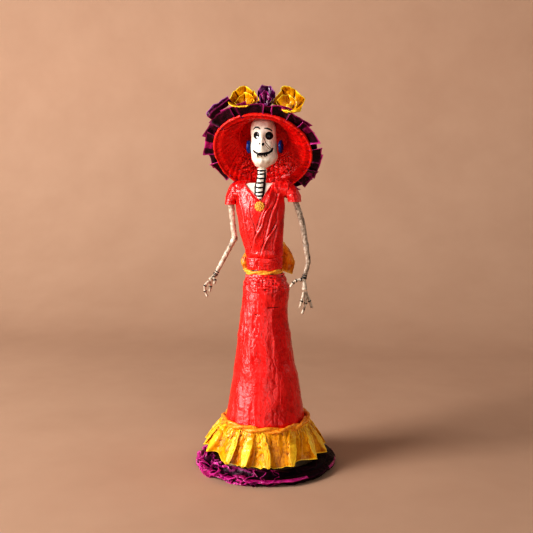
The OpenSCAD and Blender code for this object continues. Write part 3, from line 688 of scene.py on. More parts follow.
def twisted_cord(name, route, strand_r, pitch, cols, seed):
    """Two strands laid round a closed route (n, 3), with one turn every pitch millimetres."""
    step = np.linalg.norm(np.roll(route, -1, 0) - route, axis=1)
    turns = max(1, round(step.sum() / pitch))
    run = np.concatenate([[0], np.cumsum(step)[:-1]]) / step.sum()
    tangent = np.roll(route, -1, 0) - np.roll(route, 1, 0)
    tangent /= np.linalg.norm(tangent, axis=1, keepdims=True)
    side = np.cross(tangent, (0, 0, 1))
    side /= np.linalg.norm(side, axis=1, keepdims=True)
    up = np.cross(side, tangent)
    b = around(cols)[..., None]
    parts = []
    for k in (0, 1):
        turn = (run * TAU * turns + k * math.pi)[:, None]
        centre = (route + strand_r * 0.86 * (np.cos(turn) * side + np.sin(turn) * up))[:, None]
        ring = strand_r * (np.cos(b) * side[:, None] + np.sin(b) * up[:, None])
        points = centre + ring
        swell = 1 + 0.2 * noise(points, 4, seed + k) + 0.12 * creases(points, 2.2, seed + 5 + k)
        points = centre + ring * swell[..., None]
        parts.append((points.reshape(-1, 3), grid_faces(len(route), cols, True, True)))
    return make_mesh(name, *join_meshes(parts), ORANGE)


def build_skirt_band():
    """Loosely twisted paper cord with long laps."""
    middle, half = box_core("skirt_band")
    tube, a = half[2], around(420)[0]
    ring = half[0] - tube + 0.3
    route = middle + xyz(ring * np.cos(a), ring * np.sin(a),
        0.8 * np.sin(3 * a + 1) - 1.2 * np.maximum(0, -np.sin(a)))
    band = twisted_cord("skirt_band_cord", route, tube * 0.72, 44, 20, 41)
    place(band, "figure", "skirt_band")


def build_skirt():
    """Long skirt skin with fine downward wrinkles and crumples below the belt."""
    z, a = down(SKIRT_RINGS[0][0] - 3, SKIRT_RINGS[-1][0], 330), around(300)
    points = ring_surface(SKIRT_RINGS, a, z)
    waist, hem = smoothstep(172, 187, z), smoothstep(80, 52, z)
    push = 0.75 * noise(points, 17, 2, (1, 1, 2.4)) + 0.5 * creases(points, 9, 12, (1, 1, 3.2))
    push = push + 0.22 * creases(points, 3.4, 13, (1, 1, 2.2))
    push = push + 0.1 * creases(points, 1.7, 14, (1, 1, 1.5))
    crumple = 1.7 * creases(points, 7.5, 19, (1.3, 1.3, 0.8)) + 0.5 * creases(points, 3, 20) + 0.3
    push = push + crumple * waist
    push = push + 0.9 * creases(points, 15, 21, (1, 1, 2.4), octaves=2) * smoothstep(60, 110, z)
    push = push + 0.3 * np.sin(19 * a + 2 * noise(points, 20, 8)) * hem
    for x, height, half_width in ((9.8, 163, 6.2), (-5.5, 156, 3.2), (24.2, 123, 2.2)):
        across = np.abs(points[..., 0] - x)
        dent = bump_at(points[..., 2], height, 0.7) * smoothstep(half_width, half_width * 0.6, across)
        push = push - 0.75 * dent * smoothstep(0.1, 0.5, -np.sin(a))
    points = points + level_rays(a) * (push - 0.1)[..., None]
    place(make_mesh("skirt_paper", *thick_sheet(points, 0.8), RED), "figure", "skirt")


# ---------------------------------------------------------------- bodice, belt and bow

NECK_TIP = np.array([-3.4, 266.4])
NECK_RIGHT = np.array([-22.6, 284.8])
NECK_LEFT = np.array([7.8, 284.8])
SHOULDER_TOP = 285.4
BACK_TOP = 283.6


def line_distance(x, z, p, q):
    """Signed distance from the line through p and q, and the share of the way along it."""
    length = np.linalg.norm(q - p)
    d = (q - p) / length
    return (x - p[0]) * d[1] - (z - p[1]) * d[0], ((x - p[0]) * d[0] + (z - p[1]) * d[1]) / length


def torso_surface(a, z, grow=0.0):
    return ring_surface(TORSO_RINGS, a, z, grow)


def neckline_height(a):
    """Top of the bodice round the body: the V in front, and a level edge behind."""
    top = np.zeros(a.shape)
    for _ in range(12):
        x = torso_surface(a, np.where(top > 0, top, 276.0))[..., 0]
        right, left = (NECK_TIP[1] + (x - NECK_TIP[0]) * (end[1] - NECK_TIP[1]) / (end[0] - NECK_TIP[0])
            for end in (NECK_RIGHT, NECK_LEFT))
        front = np.minimum(np.where(x < NECK_TIP[0], right, left), SHOULDER_TOP)
        goal = np.where(np.sin(a) < 0, front, BACK_TOP)
        top = np.where(top > 0, top * 0.5 + goal * 0.5, goal)
    return top


def build_bodice():
    """Crossed front: a broad smooth lapel along each side of the V and a few loose folds to the waist."""
    z_low = TORSO_RINGS[0][0] + 3
    a = around(300)[0]
    top = neckline_height(a)
    for _ in range(2):
        top = 0.25 * np.roll(top, 1) + 0.5 * top + 0.25 * np.roll(top, -1)
    v = down(0, 1, 210)
    z = z_low + (top[None] - z_low) * v
    points = torso_surface(a, z)
    x, front = points[..., 0], smoothstep(-0.05, 0.45, -np.sin(a))[None]
    push = 0.55 * noise(points, 12, 61) + 0.45 * creases(points, 8, 62, (1, 1, 2.6))
    push = push + 0.24 * creases(points, 3.2, 63, (1, 1, 1.8)) + 0.1 * creases(points, 1.6, 64)
    lines = ((NECK_LEFT + (1, -1), (-15, 210), 1.1, 2.2, 1.6),
        (NECK_RIGHT + (-1, -1), (-1, 262), 0.9, 2.2, 1.6), (NECK_LEFT + (8, -1), (-2, 207), 0.9, 1.5, 1.2),
        (NECK_RIGHT + (-6, -3), (-13, 214), 0.7, 1.8, 1.4), ((6.5, 262), (-10, 226), 0.9, 1.1, 1.1),
        ((12.5, 246), (-4, 212), 1.0, 1.0, 1.0), ((-14, 262), (-9, 224), 0.5, 1.0, 1.2),
        ((15.5, 258), (9, 216), 0.5, 1.3, 1.4))
    for p, q, height, width, reach in lines:
        p, q = np.array(p, float), np.array(q, float)
        d, along = line_distance(x, z, p, q)
        d = d + 1.5 * noise(points, 15, 70 + int(abs(p[0] * 3 + q[1])))
        present = smoothstep(-0.04, 0.1, along) * smoothstep(1.08, 0.7, along) * front
        push = push + height * bump_at(d, 0, width) * present
        push = push - height * 0.8 * bump_at(d, -np.sign(q[0] - p[0]) * reach * 1.2, 0.7) * present
    push = push + 1.0 * bump_at(z, 214, 2.6) * (0.7 + 0.5 * noise(points, 8, 69))
    push = push - 0.6 * smoothstep(212, 207, z)
    push = push + 0.5 * np.exp(-((1 - v) * (top[None] - z_low) / 1.2) ** 2)
    direction = grid_normals(points)
    direction = direction * np.sign((direction * level_rays(a)).sum(-1))[..., None]
    points = points + direction * push[..., None]
    place(make_mesh("bodice_paper", *thick_sheet(points, 0.8), RED), "figure", "bodice")


def build_chest():
    """Cream chest under the neckline, with the neck running down it as a raised column."""
    z = down(262, TORSO_RINGS[-1][0] - 0.1, 60)
    chest = torso_surface(around(96), z, -0.75)
    path = smooth_path([(-4.3, 0, 297.5), (-4.6, -0.6, 291), (-5, -2.6, 285), (-5.1, -6.4, 279),
        (-4.8, -9.6, 272.5), (-4, -11.4, 267)], 60)
    t = np.linspace(0, 1, 60)
    radius = 4.75 + 0.35 * bump_at(t, 0.6, 0.3) - 1.1 * smoothstep(0.8, 1, t)
    neck = tube_points(path, radius, 40)
    nudge(neck, 0.12 * noise(neck, 4, 90))
    piece = make_mesh("chest_and_neck", *join_meshes([closed_tube(chest), closed_tube(neck)]), BONE)
    place(piece, "figure", "chest", "neck")
    return piece


def build_waistband():
    low, high = box_mm("waistband")
    z, a = down(low[2] - 0.6, high[2] + 1.2, 34), around(220)
    points = torso_surface(a, z, 0.9)
    points[..., 2] += 0.7 * noise(20 * level_rays(a), 9, 95)
    v = (z - z[0]) / (z[-1] - z[0])
    push = 0.7 * np.sin(v * math.pi) + 0.8 * creases(points, 6, 96, (1, 1, 1.3))
    push = push + 0.3 * creases(points, 2.6, 97)
    points = points + level_rays(a) * push[..., None]
    place(make_mesh("waistband_paper", *thick_sheet(points, 0.7), RED), "figure", "waistband")


def build_belt():
    middle, half = box_core("belt_cord")
    tube, a = half[2], around(300)[0]
    reach = half - tube + 0.2
    route = middle + xyz(reach[0] * np.cos(a), reach[1] * np.sin(a), 0.8 * np.sin(a + 0.6))
    belt = twisted_cord("belt_cord_twist", route, tube * 0.78, 30, 14, 51)
    place(belt, "figure", "belt_cord")


def build_bow_loop(node, side, reach, rise, drop, seed):
    """Wide paper ribbon that leaves the knot, turns at the tip and comes back."""
    low, high = box_mm(node)
    middle = (low + high) / 2
    root_x = high[0] if side < 0 else low[0]
    t, w = down(0, 1, 70), np.linspace(-1, 1, 26)[None]
    out = np.sin(t * math.pi) ** 0.8
    gap = 4.3 * np.sin(t * TAU) * (0.4 + 0.6 * out)
    climb, fall = rise * out ** 1.2 + 3, drop * out ** 1.2 + 3
    x = root_x + side * reach * out * (1 - 0.1 * np.abs(w) ** 1.5 - 0.36 * np.maximum(w, 0) ** 1.2)
    z = middle[2] - (rise - drop) * 0.35 + w * np.where(w > 0, climb, fall)
    y = middle[1] + gap - 1.2 * w ** 2 + np.sin(w * 7 + seed) * 0.55 * out
    points = xyz(x, y, z)
    nudge(points, 0.8 * noise(points, 7, seed), (0.6, 1, 0.6))
    nudge(points, 0.5 * creases(points, 5, seed + 3), (0.3, 1, 0.3))
    points[..., 1] = np.maximum(points[..., 1], 14.8)
    place(make_mesh(f"{node}_ribbon", *thick_sheet(points, 0.6, False), BOW, sharp=40), "figure", node)


def build_bow_knot():
    middle, half = box_core("bow_knot")
    direction = ball(40, 48, 2, 0.02)
    points = middle + np.sign(direction) * np.abs(direction) ** 0.7 * half * 1.08
    points += direction * (0.6 * creases(points, 4, 77, (1, 1, 2)) + 0.3 * noise(points, 3, 78))[..., None]
    place(make_mesh("bow_knot_paper", *closed_tube(points), BOW, sharp=45), "figure", "bow_knot")


def build_brooch():
    """Painted rosette: two rows of petals round a button."""
    middle, half = box_core("brooch")
    r = half[0]
    parts = []
    petal_rows = ((9, 0.66, 0.36, 0.0), (6, 0.34, 0.27, 0.7), (1, 0, 0.2, 1.2))
    for petals, ring_share, petal_share, lift in petal_rows:
        for k in range(petals):
            angle = TAU * (k + 0.3 * lift) / petals
            centre = middle + (r * ring_share * math.cos(angle), -lift, r * ring_share * math.sin(angle))
            parts.append(closed_tube(centre + ball(12, 16, 1) * (r * petal_share, 0.95, r * petal_share)))
    parts.append(closed_tube(middle + (0, 0.3, 0) + ball(10, 40, 1) * (r * 0.86, 0.8, r * 0.86)))
    verts, faces = join_meshes(parts)
    from_middle = np.array([np.asarray(verts)[list(f)].mean(0) for f in faces]) - middle
    reach = np.hypot(from_middle[:, 0], from_middle[:, 2]) / r
    # The gaps between the petal rows get brown: partly the brooch's own brown lines, partly painted shade
    # between the rows.
    ring_gap = (np.abs(reach - 0.52) < 0.05) | (np.abs(reach - 0.24) < 0.045)
    dark = ring_gap & (noise(from_middle, 1.6, 81) > -0.25)
    place(make_mesh("brooch_rosette", verts, faces, [GOLD, SHADE], dark.astype(int)), "figure", "brooch")


def build_sleeve(node, rings, seed):
    """Short puffed sleeve with gathered folds, open round the arm."""
    rings = np.array(rings, float)
    rows, cols = 70, 110
    z = down(rings[0][0], rings[-1][0], rows)
    a = around(cols)
    points = ring_surface(rings, a, z)
    v = (z - z[0]) / (z[-1] - z[0])
    push = 1.0 * creases(points, 6, seed, (1, 1, 2)) + 0.5 * noise(points, 6, seed + 1) - 0.3
    push = push + 0.35 * creases(points, 2.6, seed + 2)
    push = push * (0.35 + 0.65 * smoothstep(0, 0.4, v)) + 0.35 * bump_at(v, 0.02, 0.05)
    points = points + level_rays(a) * push[..., None]
    verts, faces = thick_sheet(points, 0.7)
    top = points[-1].mean(0) + (0, 0, 0.5)
    verts = np.vstack([verts, [top]])
    last = (rows - 1) * cols
    faces = faces + [(len(verts) - 1, last + c, last + (c + 1) % cols) for c in range(cols)]
    side = np.sign(rings[0][1])
    u = down(0, 1, 40)
    b = around(60)
    inner_x = 17.0 if side < 0 else 9.5
    gx = side * (inner_x + (abs(rings[2][1]) - 1.5 - inner_x) * u)
    gz = rings[2][0] + 3.8 - 1.4 * u + (9.2 - 0.8 * u) * np.sin(b)
    gy = 1.4 + 1.4 * u + (10.2 - 1.7 * u) * np.cos(b)
    gusset = xyz(gx, gy, gz)
    fold = 0.9 * creases(gusset, 6, seed + 4, (1.4, 1, 1)) + 0.35 * creases(gusset, 2.6, seed + 5) - 0.2
    gusset += xyz(0, np.cos(b), np.sin(b)) * fold[..., None]
    place(make_mesh(f"{node}_paper", *join_meshes([(verts, faces), closed_tube(gusset)]), RED), "figure",
        node)


SLEEVE_RIGHT_RINGS = [(262.6, -36.4, 2.6, 5.4, 8.9), (266, -35.8, 2.7, 5.8, 9.1), (271, -34, 3, 6.6, 8.9),
    (276, -31.4, 3, 7.8, 8.6), (280, -28.4, 3, 8.8, 7.6), (283.4, -25.4, 2.6, 8.2, 5.8),
    (286, -22.6, 2, 5.4, 3.4)]
SLEEVE_LEFT_RINGS = [(265.6, 27.6, 2.6, 6.2, 8.9), (270, 26.6, 2.7, 6.6, 9.1), (275, 23.6, 3, 7.8, 8.7),
    (279, 20.4, 3, 8.6, 7.8), (282.6, 17, 2.6, 8.4, 6), (285.6, 13.6, 2, 5.6, 3.4)]

build_hem_roll()
build_flounce()
build_skirt_band()
build_skirt()
build_bodice()
chest_piece = build_chest()
build_waistband()
build_belt()
build_bow_loop("bow_loop_right", -1, 22.4, 12, 7, 101)
build_bow_loop("bow_loop_left", 1, 24.6, 16.5, 10.4, 111)
build_bow_knot()
build_brooch()
build_sleeve("sleeve_right", SLEEVE_RIGHT_RINGS, 120)
build_sleeve("sleeve_left", SLEEVE_LEFT_RINGS, 130)

# ---------------------------------------------------------------- brush paint on a surface

PAINT_LIFT = 0.07
GLINT_LIFT = 0.2
PAINT_THICKNESS = 0.12
RAY_START_Y = -60


def surface_tree(obj):
    bpy.context.view_layer.update()
    return BVHTree.FromObject(obj, bpy.context.evaluated_depsgraph_get())


def paint_patch(name, tree, body, inside, x_range, z_range, material, step, lift):
    """A thin skin of paint laid on the front of a surface, where inside(x, z) is true."""
    xs = np.arange(x_range[0], x_range[1] + step, step)
    zs = np.arange(z_range[0], z_range[1] + step, step)
    hits = {}
    for i, x in enumerate(xs):
        for j, z in enumerate(zs):
            spot, normal, *_ = tree.ray_cast(Vector((x, RAY_START_Y, z)) * MM, Vector((0, 1, 0)))
            if spot is not None:
                hits[i, j] = tuple((spot + normal * lift * MM) / MM)
    cells = []
    for i in range(len(xs) - 1):
        for j in range(len(zs) - 1):
            corners = [(i, j), (i + 1, j), (i + 1, j + 1), (i, j + 1)]
            if all(c in hits for c in corners) and inside(xs[i] + step / 2, zs[j] + step / 2):
                cells.append(corners)
    used = sorted({c for corners in cells for c in corners})
    number = {c: k for k, c in enumerate(used)}
    faces = [[number[c] for c in corners] for corners in cells]
    patch = make_mesh(name, [hits[c] for c in used], faces, material)
    solid = patch.modifiers.new("thickness", "SOLIDIFY")
    solid.thickness = PAINT_THICKNESS * MM
    solid.offset = -1
    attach(patch, body)


def ellipse(cx, cz, rx, rz, lean=0.0):
    c, s = math.cos(math.radians(lean)), math.sin(math.radians(lean))
    return lambda x, z: (
        (((x - cx) * c + (z - cz) * s) / rx) ** 2 + ((-(x - cx) * s + (z - cz) * c) / rz) ** 2 < 1)


def stroke(points, width):
    """Test for a brush stroke along points (x, z), as wide as width at its middle."""
    pts = np.asarray(points, float)
    total = len(pts) - 1

    def inside(x, z):
        best = math.inf
        for k in range(total):
            p, d = pts[k], pts[k + 1] - pts[k]
            t = max(0, min(1, ((x - p[0]) * d[0] + (z - p[1]) * d[1]) / d.dot(d)))
            taper = 0.55 + 0.45 * math.sin(math.pi * (k + t) / total)
            best = min(best, math.hypot(x - p[0] - t * d[0], z - p[1] - t * d[1]) / taper)
        return best < width / 2
    return inside


def any_of(*tests):
    return lambda x, z: any(test(x, z) for test in tests)


def build_neck_ladder():
    """Painted ladder down the neck: two rails and the rungs between them."""
    marks = [stroke([(-8.4, 296), (-9.2, 288.5), (-9.5, 279), (-9, 273), (-7.4, 268.4)], 1.9),
        stroke([(-1, 296), (-0.8, 288.5), (-0.7, 279), (-1, 273), (-2, 268)], 1.9)]
    for k, z in enumerate((295.9, 292.6, 288.4, 284.2, 279.6, 275.2, 271.6, 268.4)):
        half = 4.3 - 1.6 * smoothstep(272, 267, z)
        marks.append(stroke([(-4.9 - half, z + 0.3 * (-1) ** k), (-4.9, z - 0.3), (-4.9 + half, z + 0.2)],
            1.75))
    paint_patch("neck_ladder_paint", surface_tree(chest_piece), "figure", any_of(*marks), (-12, 2),
        (265, 297), BLACK, 0.25, PAINT_LIFT)


build_neck_ladder()

# ---------------------------------------------------------------- head

SKULL_X = box_mid("skull", 0)
CHIN_Z, SKULL_TOP = (corner[2] for corner in box_mm("skull"))
SKULL_ROUNDING = 0.86


def build_skull():
    """Tall narrow skull with brow, cheekbones, a muzzle wedge and a heavy round chin."""
    work = bmesh.new()
    bmesh.ops.create_icosphere(work, subdivisions=6, radius=1)
    unit = np.array([v.co for v in work.verts])
    faces = [[v.index for v in f.verts] for f in work.faces]
    work.free()
    height, middle = SKULL_TOP - CHIN_Z, (SKULL_TOP + CHIN_Z) / 2
    z = middle + np.sign(unit[:, 2]) * np.abs(unit[:, 2]) ** 1.06 * height / 2
    flat = np.maximum(np.hypot(unit[:, 0], unit[:, 1]), 1e-6)
    cos_a, sin_a = unit[:, 0] / flat, unit[:, 1] / flat
    # half width and the front and back reach of each level, as a share of the way up the head
    share = (z - CHIN_Z) / height
    knots = np.array([0, 0.06, 0.14, 0.24, 0.34, 0.46, 0.58, 0.7, 0.82, 0.92, 0.97, 1.0])
    wide = np.interp(share, knots, [0, 7.0, 10.0, 11.3, 11.7, 12.5, 12.4, 12.2, 12.0, 10.4, 7.8, 0])
    front = np.interp(share, knots, [0, 8.8, 13.2, 14.8, 14.2, 14.0, 13.6, 13.4, 12.8, 10.6, 7.8, 0])
    back = np.interp(share, knots, [0, 3.0, 4.6, 5.8, 8.4, 12.2, 14.8, 15.6, 14.4, 11, 7.6, 0])
    reach = np.where(sin_a < 0, front, back)
    x = SKULL_X + wide * np.sign(cos_a) * np.abs(cos_a) ** SKULL_ROUNDING
    y = reach * np.sign(sin_a) * np.abs(sin_a) ** SKULL_ROUNDING
    points = xyz(x, y, z)
    ahead = smoothstep(-0.05, 0.6, -sin_a)
    face_x = x - SKULL_X

    def dome(cx, cz, sx, sz):
        return bump_at(face_x, cx, sx) * bump_at(z, cz, sz) * ahead

    forward = 0.9 * dome(0, 331.5, 9, 2.2)
    forward -= 2.0 * dome(-4.6, 329.6, 3.0, 3.4) + 2.0 * dome(5.4, 329.4, 3.0, 3.6)
    forward += 1.4 * dome(0.6, 325, 2.2, 5) + 2.4 * dome(1.0, 318.8, 3.6, 4.4)
    forward += 1.0 * dome(-7.6, 320.5, 2.4, 3.4) + 1.0 * dome(8.4, 320, 2.4, 3.4)
    forward += 1.6 * dome(0, 313, 6, 3.2) + 1.3 * dome(0.2, 303.8, 7, 4)
    forward -= 0.9 * dome(-8.2, 313, 2.4, 3) + 0.9 * dome(8.2, 312.6, 2.4, 3)
    forward -= 1.0 * dome(0, 308.4, 7, 1.3)
    points[:, 1] -= forward
    points[:, 0] += smoothstep(0.1, 0.9, cos_a) * (3.2 * bump_at(z, 308.5, 6.5) + 1.3 * bump_at(z, 322, 7))
    side_in = bump_at(z, 325.5, 5) * smoothstep(0.5, 1, np.abs(cos_a)) * smoothstep(0.6, -0.2, sin_a)
    points[:, 0] -= np.sign(face_x) * 0.8 * side_in
    rough = 0.16 * noise(points, 4.5, 201) + 0.08 * noise(points, 1.8, 202)
    rough = rough + 0.7 * creases(points, 5, 203) * smoothstep(311, 304, z)
    points += (points - np.array([SKULL_X, 0, middle])) / np.array([12, 14, 25]) * rough[:, None]
    skull = make_mesh("skull_head", points, faces, BONE)
    relax(skull, 3)
    place(skull, "head", "skull")
    return skull


def relax(obj, repeats):
    """Smooths the mesh a little and keeps the result."""
    work = bmesh.new()
    work.from_mesh(obj.data)
    for _ in range(repeats):
        bmesh.ops.smooth_vert(work, verts=work.verts, factor=0.5, use_axis_x=True, use_axis_y=True,
            use_axis_z=True)
    work.to_mesh(obj.data)
    work.free()


def build_face(skull):
    """Brush paint and painted shade on the face, in places given from the skull's middle and from the
    table.
    """
    tree, s = surface_tree(skull), SKULL_X
    teeth = [stroke([(s - 3 + 1.7 * k, 312.4 - 0.1 * k), (s - 2.6 + 1.7 * k, 309.2 + 0.9 * (k % 2))], 1.35)
        for k in range(6)]
    lips = stroke([(s - 7.6, 315.2), (s - 5.6, 313.6), (s - 2.4, 312), (s + 3, 311.9), (s + 7.4, 312.9),
        (s + 9.8, 314.6), (s + 10.8, 317.2)], 2.2)
    glints = any_of(ellipse(s - 3.2, 327.7, 1.5, 0.95, -28), ellipse(s - 2.7, 330.9, 0.55, 0.45))
    brow_right = stroke([(s - 7.6, 335.4), (s - 5.4, 337.3), (s - 2.6, 337.2), (s - 0.8, 335.6)], 1.4)
    brow_left = stroke([(s + 3.6, 336.2), (s + 6, 336.2), (s + 8.4, 335.2), (s + 10, 334)], 1.4)
    nostrils = any_of(ellipse(s - 0.6, 321.6, 0.8, 1.15, 24), ellipse(s + 2.5, 321, 1.05, 1.55, -24))
    # Painted shade: brown strokes down the side of the nose and the cheek.
    shade = any_of(stroke([(s + 3.4, 325.5), (s + 5.2, 322), (s + 8.6, 318), (s + 10.2, 316.4)], 0.75),
        stroke([(s + 4.4, 320.6), (s + 6.6, 317.8), (s + 9.2, 315.8)], 0.55),
        stroke([(s + 2.6, 327.4), (s + 4, 324.6)], 0.6))
    marks = (("eye_right", ellipse(s - 4.4, 329.6, 3.1, 3.4), -9, 0, (325, 335), BLACK, 0.2),
        ("eye_left", ellipse(s + 7.6, 329.2, 3.4, 3.9), 3, 12, (324, 335), BLACK, 0.2),
        ("eye_glint", glints, -6, 0, (326, 333), GLINT, 0.14),
        ("brow_right", brow_right, -9, 1.6, (333, 339), BLACK, 0.2),
        ("brow_left", brow_left, 3, 12.6, (331, 339), BLACK, 0.2),
        ("nostril", nostrils, -3, 5, (318.6, 324), BLACK, 0.16),
        ("mouth", any_of(lips, *teeth), -9.4, 12.2, (308, 318.6), BLACK, 0.18),
        ("cheek_shade", shade, 2, 11.6, (314, 328.4), SHADE, 0.16))
    for name, test, left, right, z_range, paint, step in marks:
        lift = GLINT_LIFT if paint is GLINT else PAINT_LIFT
        paint_patch(f"{name}_paint", tree, "head", test, (s + left, s + right), z_range, paint, step, lift)


# ---------------------------------------------------------------- hat

HAT_TILT = math.radians(49.5)
HAT_ORIGIN = np.array([-4.5, 0, 313])
CROWN_SHIFT = np.array([1.5, -6.0])
BRIM_R = 47.0
CROWN_R = 24.6
CROWN_TOP = 27.5


def from_hat(points):
    """Points in the hat's own frame, +Z along the crown, as points of the figure."""
    p = np.asarray(points, float)
    c, s = math.cos(HAT_TILT), math.sin(HAT_TILT)
    return HAT_ORIGIN + xyz(p[..., 0], p[..., 1] * c + p[..., 2] * s, -p[..., 1] * s + p[..., 2] * c)


def brim_outline(a):
    """Rim radius round the brim, slightly uneven as shaped by hand."""
    from_top = np.angle(np.exp(1j * (a + math.pi / 2)))
    wave = 1 + 0.012 * np.sin(3 * a + 0.4) + 0.01 * np.sin(5 * a + 2)
    return BRIM_R * wave - 0.4 - 3.2 * bump_at(from_top, 0.1, 0.55)


def build_brim():
    """Shallow bowl with a rolled lip, whose throat curves into the crown."""
    rows, cols = 104, 420
    a = around(cols)
    v = down(0, 1, rows)
    section = smooth_path([(CROWN_R - 1.3, 20, 0), (CROWN_R - 0.8, 16.8, 0), (CROWN_R + 0.2, 13.6, 0),
        (CROWN_R + 2.2, 10.9, 0), (CROWN_R + 5.4, 8.6, 0), (CROWN_R + 9.6, 6.2, 0),
        (CROWN_R + 14.4, 3.6, 0), (CROWN_R + 18.6, 1.6, 0), (BRIM_R, 0, 0)], rows)
    profile_r, z = section[:, 0:1], section[:, 1:2]
    rim_r = brim_outline(a)
    rim = np.stack([rim_r * np.cos(a), rim_r * np.sin(a)], -1)
    spread_out = smoothstep(CROWN_R, BRIM_R, profile_r)
    r = profile_r * (1 + (rim_r / BRIM_R - 1) * spread_out)
    shift = CROWN_SHIFT * (1 - np.clip((profile_r - CROWN_R) / (BRIM_R - CROWN_R), 0, 1))
    flat = np.stack([shift[:, 0:1] + r * np.cos(a), shift[:, 1:2] + r * np.sin(a)], -1)
    z = z + 0 * a
    curl = smoothstep(0.66, 1, v)
    z = z - 1.7 * np.sin(curl * math.pi) + 0.9 * curl
    points = xyz(flat[..., 0], flat[..., 1], z)
    low_left = smoothstep(0.35, 0.8, np.sin(a)) * smoothstep(1.0, 0.5, v)
    radial = xyz(a * 9 + 3.0 * v, v * 4, 0)
    keep = smoothstep(0, 0.12, v)
    wrinkle = 0.5 * noise(points, 11, 301) + 0.55 * creases(radial, 1.2, 302, (1, 2.6, 1))
    wrinkle = wrinkle + 0.3 * creases(points, 3.6, 303) + 0.12 * creases(points, 1.6, 306)
    wrinkle = wrinkle + (2.0 * creases(points, 5.5, 304) + 0.8 * creases(points, 2.4, 305) + 0.3) * low_left
    fold, along = line_distance(points[..., 0], points[..., 1], np.array([-40.0, -26.0]),
        np.array([-12.0, -33.0]))
    wrinkle = wrinkle + 1.2 * bump_at(fold, 0, 0.9) * smoothstep(-0.05, 0.1, along) * smoothstep(1.1, 0.8,
        along)
    points[..., 2] += wrinkle * keep
    face = points
    fall = np.gradient(section[:, 1]) / np.maximum(np.hypot(*np.gradient(section[:, :2], axis=0).T), 1e-6)
    fall = -fall[:, None]
    back = points + xyz(fall * np.cos(a), fall * np.sin(a), np.sqrt(np.clip(1 - fall ** 2, 0, 1)))
    turn = np.linspace(0, math.pi, 11)[1:-1][:, None]
    rim_points = xyz(rim[0, :, 0], rim[0, :, 1], rim[0, :, 0] * 0)
    lip_r = 2.1 * (1 + 0.16 * noise(rim_points, 5, 310) + 0.1 * creases(rim_points, 3, 311))[None]
    edge_mid = (face[-1] + back[-1]) / 2
    out = xyz(np.cos(a[0]), np.sin(a[0]), 0 * a[0])
    curve = np.sin(turn)[..., None] * out[None] + np.array([0, 0, 1]) * -np.cos(turn)[..., None]
    lip = edge_mid[None] + lip_r[..., None] * curve + out[None] * 0.2
    sheet = np.concatenate([face, lip, back[::-1]])
    brim = make_mesh("hat_brim_paper", from_hat(sheet.reshape(-1, 3)),
        grid_faces(len(sheet), cols, True, True), HAT_RED)
    place(brim, "head", "hat_brim")


def build_crown():
    t, a = down(0, 1, 90), around(200)
    wall = smoothstep(0, 0.55, t)
    bend = np.clip((t - 0.55) / 0.45, 0, 1) * math.pi / 2
    dome_r = (CROWN_R + 0.6) * np.clip(np.cos(bend), 0, 1) ** 0.62
    r = np.where(t < 0.55, CROWN_R + 1.2 - 0.6 * wall, dome_r)
    z = np.where(t < 0.55, 13.4 + t / 0.55 * 5.1, 18.5 + (CROWN_TOP - 17.5) * np.sin(bend))
    r = np.maximum(r, 0.05)
    points = xyz(CROWN_SHIFT[0] + r * np.cos(a), CROWN_SHIFT[1] + r * np.sin(a), z)
    out = xyz(np.cos(a) * (1 - t * 0.6), np.sin(a) * (1 - t * 0.6), t)
    push = 0.5 * noise(points, 10, 320) + 0.45 * creases(points, 7, 321) + 0.12 * creases(points, 3, 322)
    points = points + out * push[..., None]
    verts, faces = thick_sheet(points, 1.0)
    place(make_mesh("hat_crown_paper", from_hat(verts), faces, HAT_RED), "head", "hat_crown")


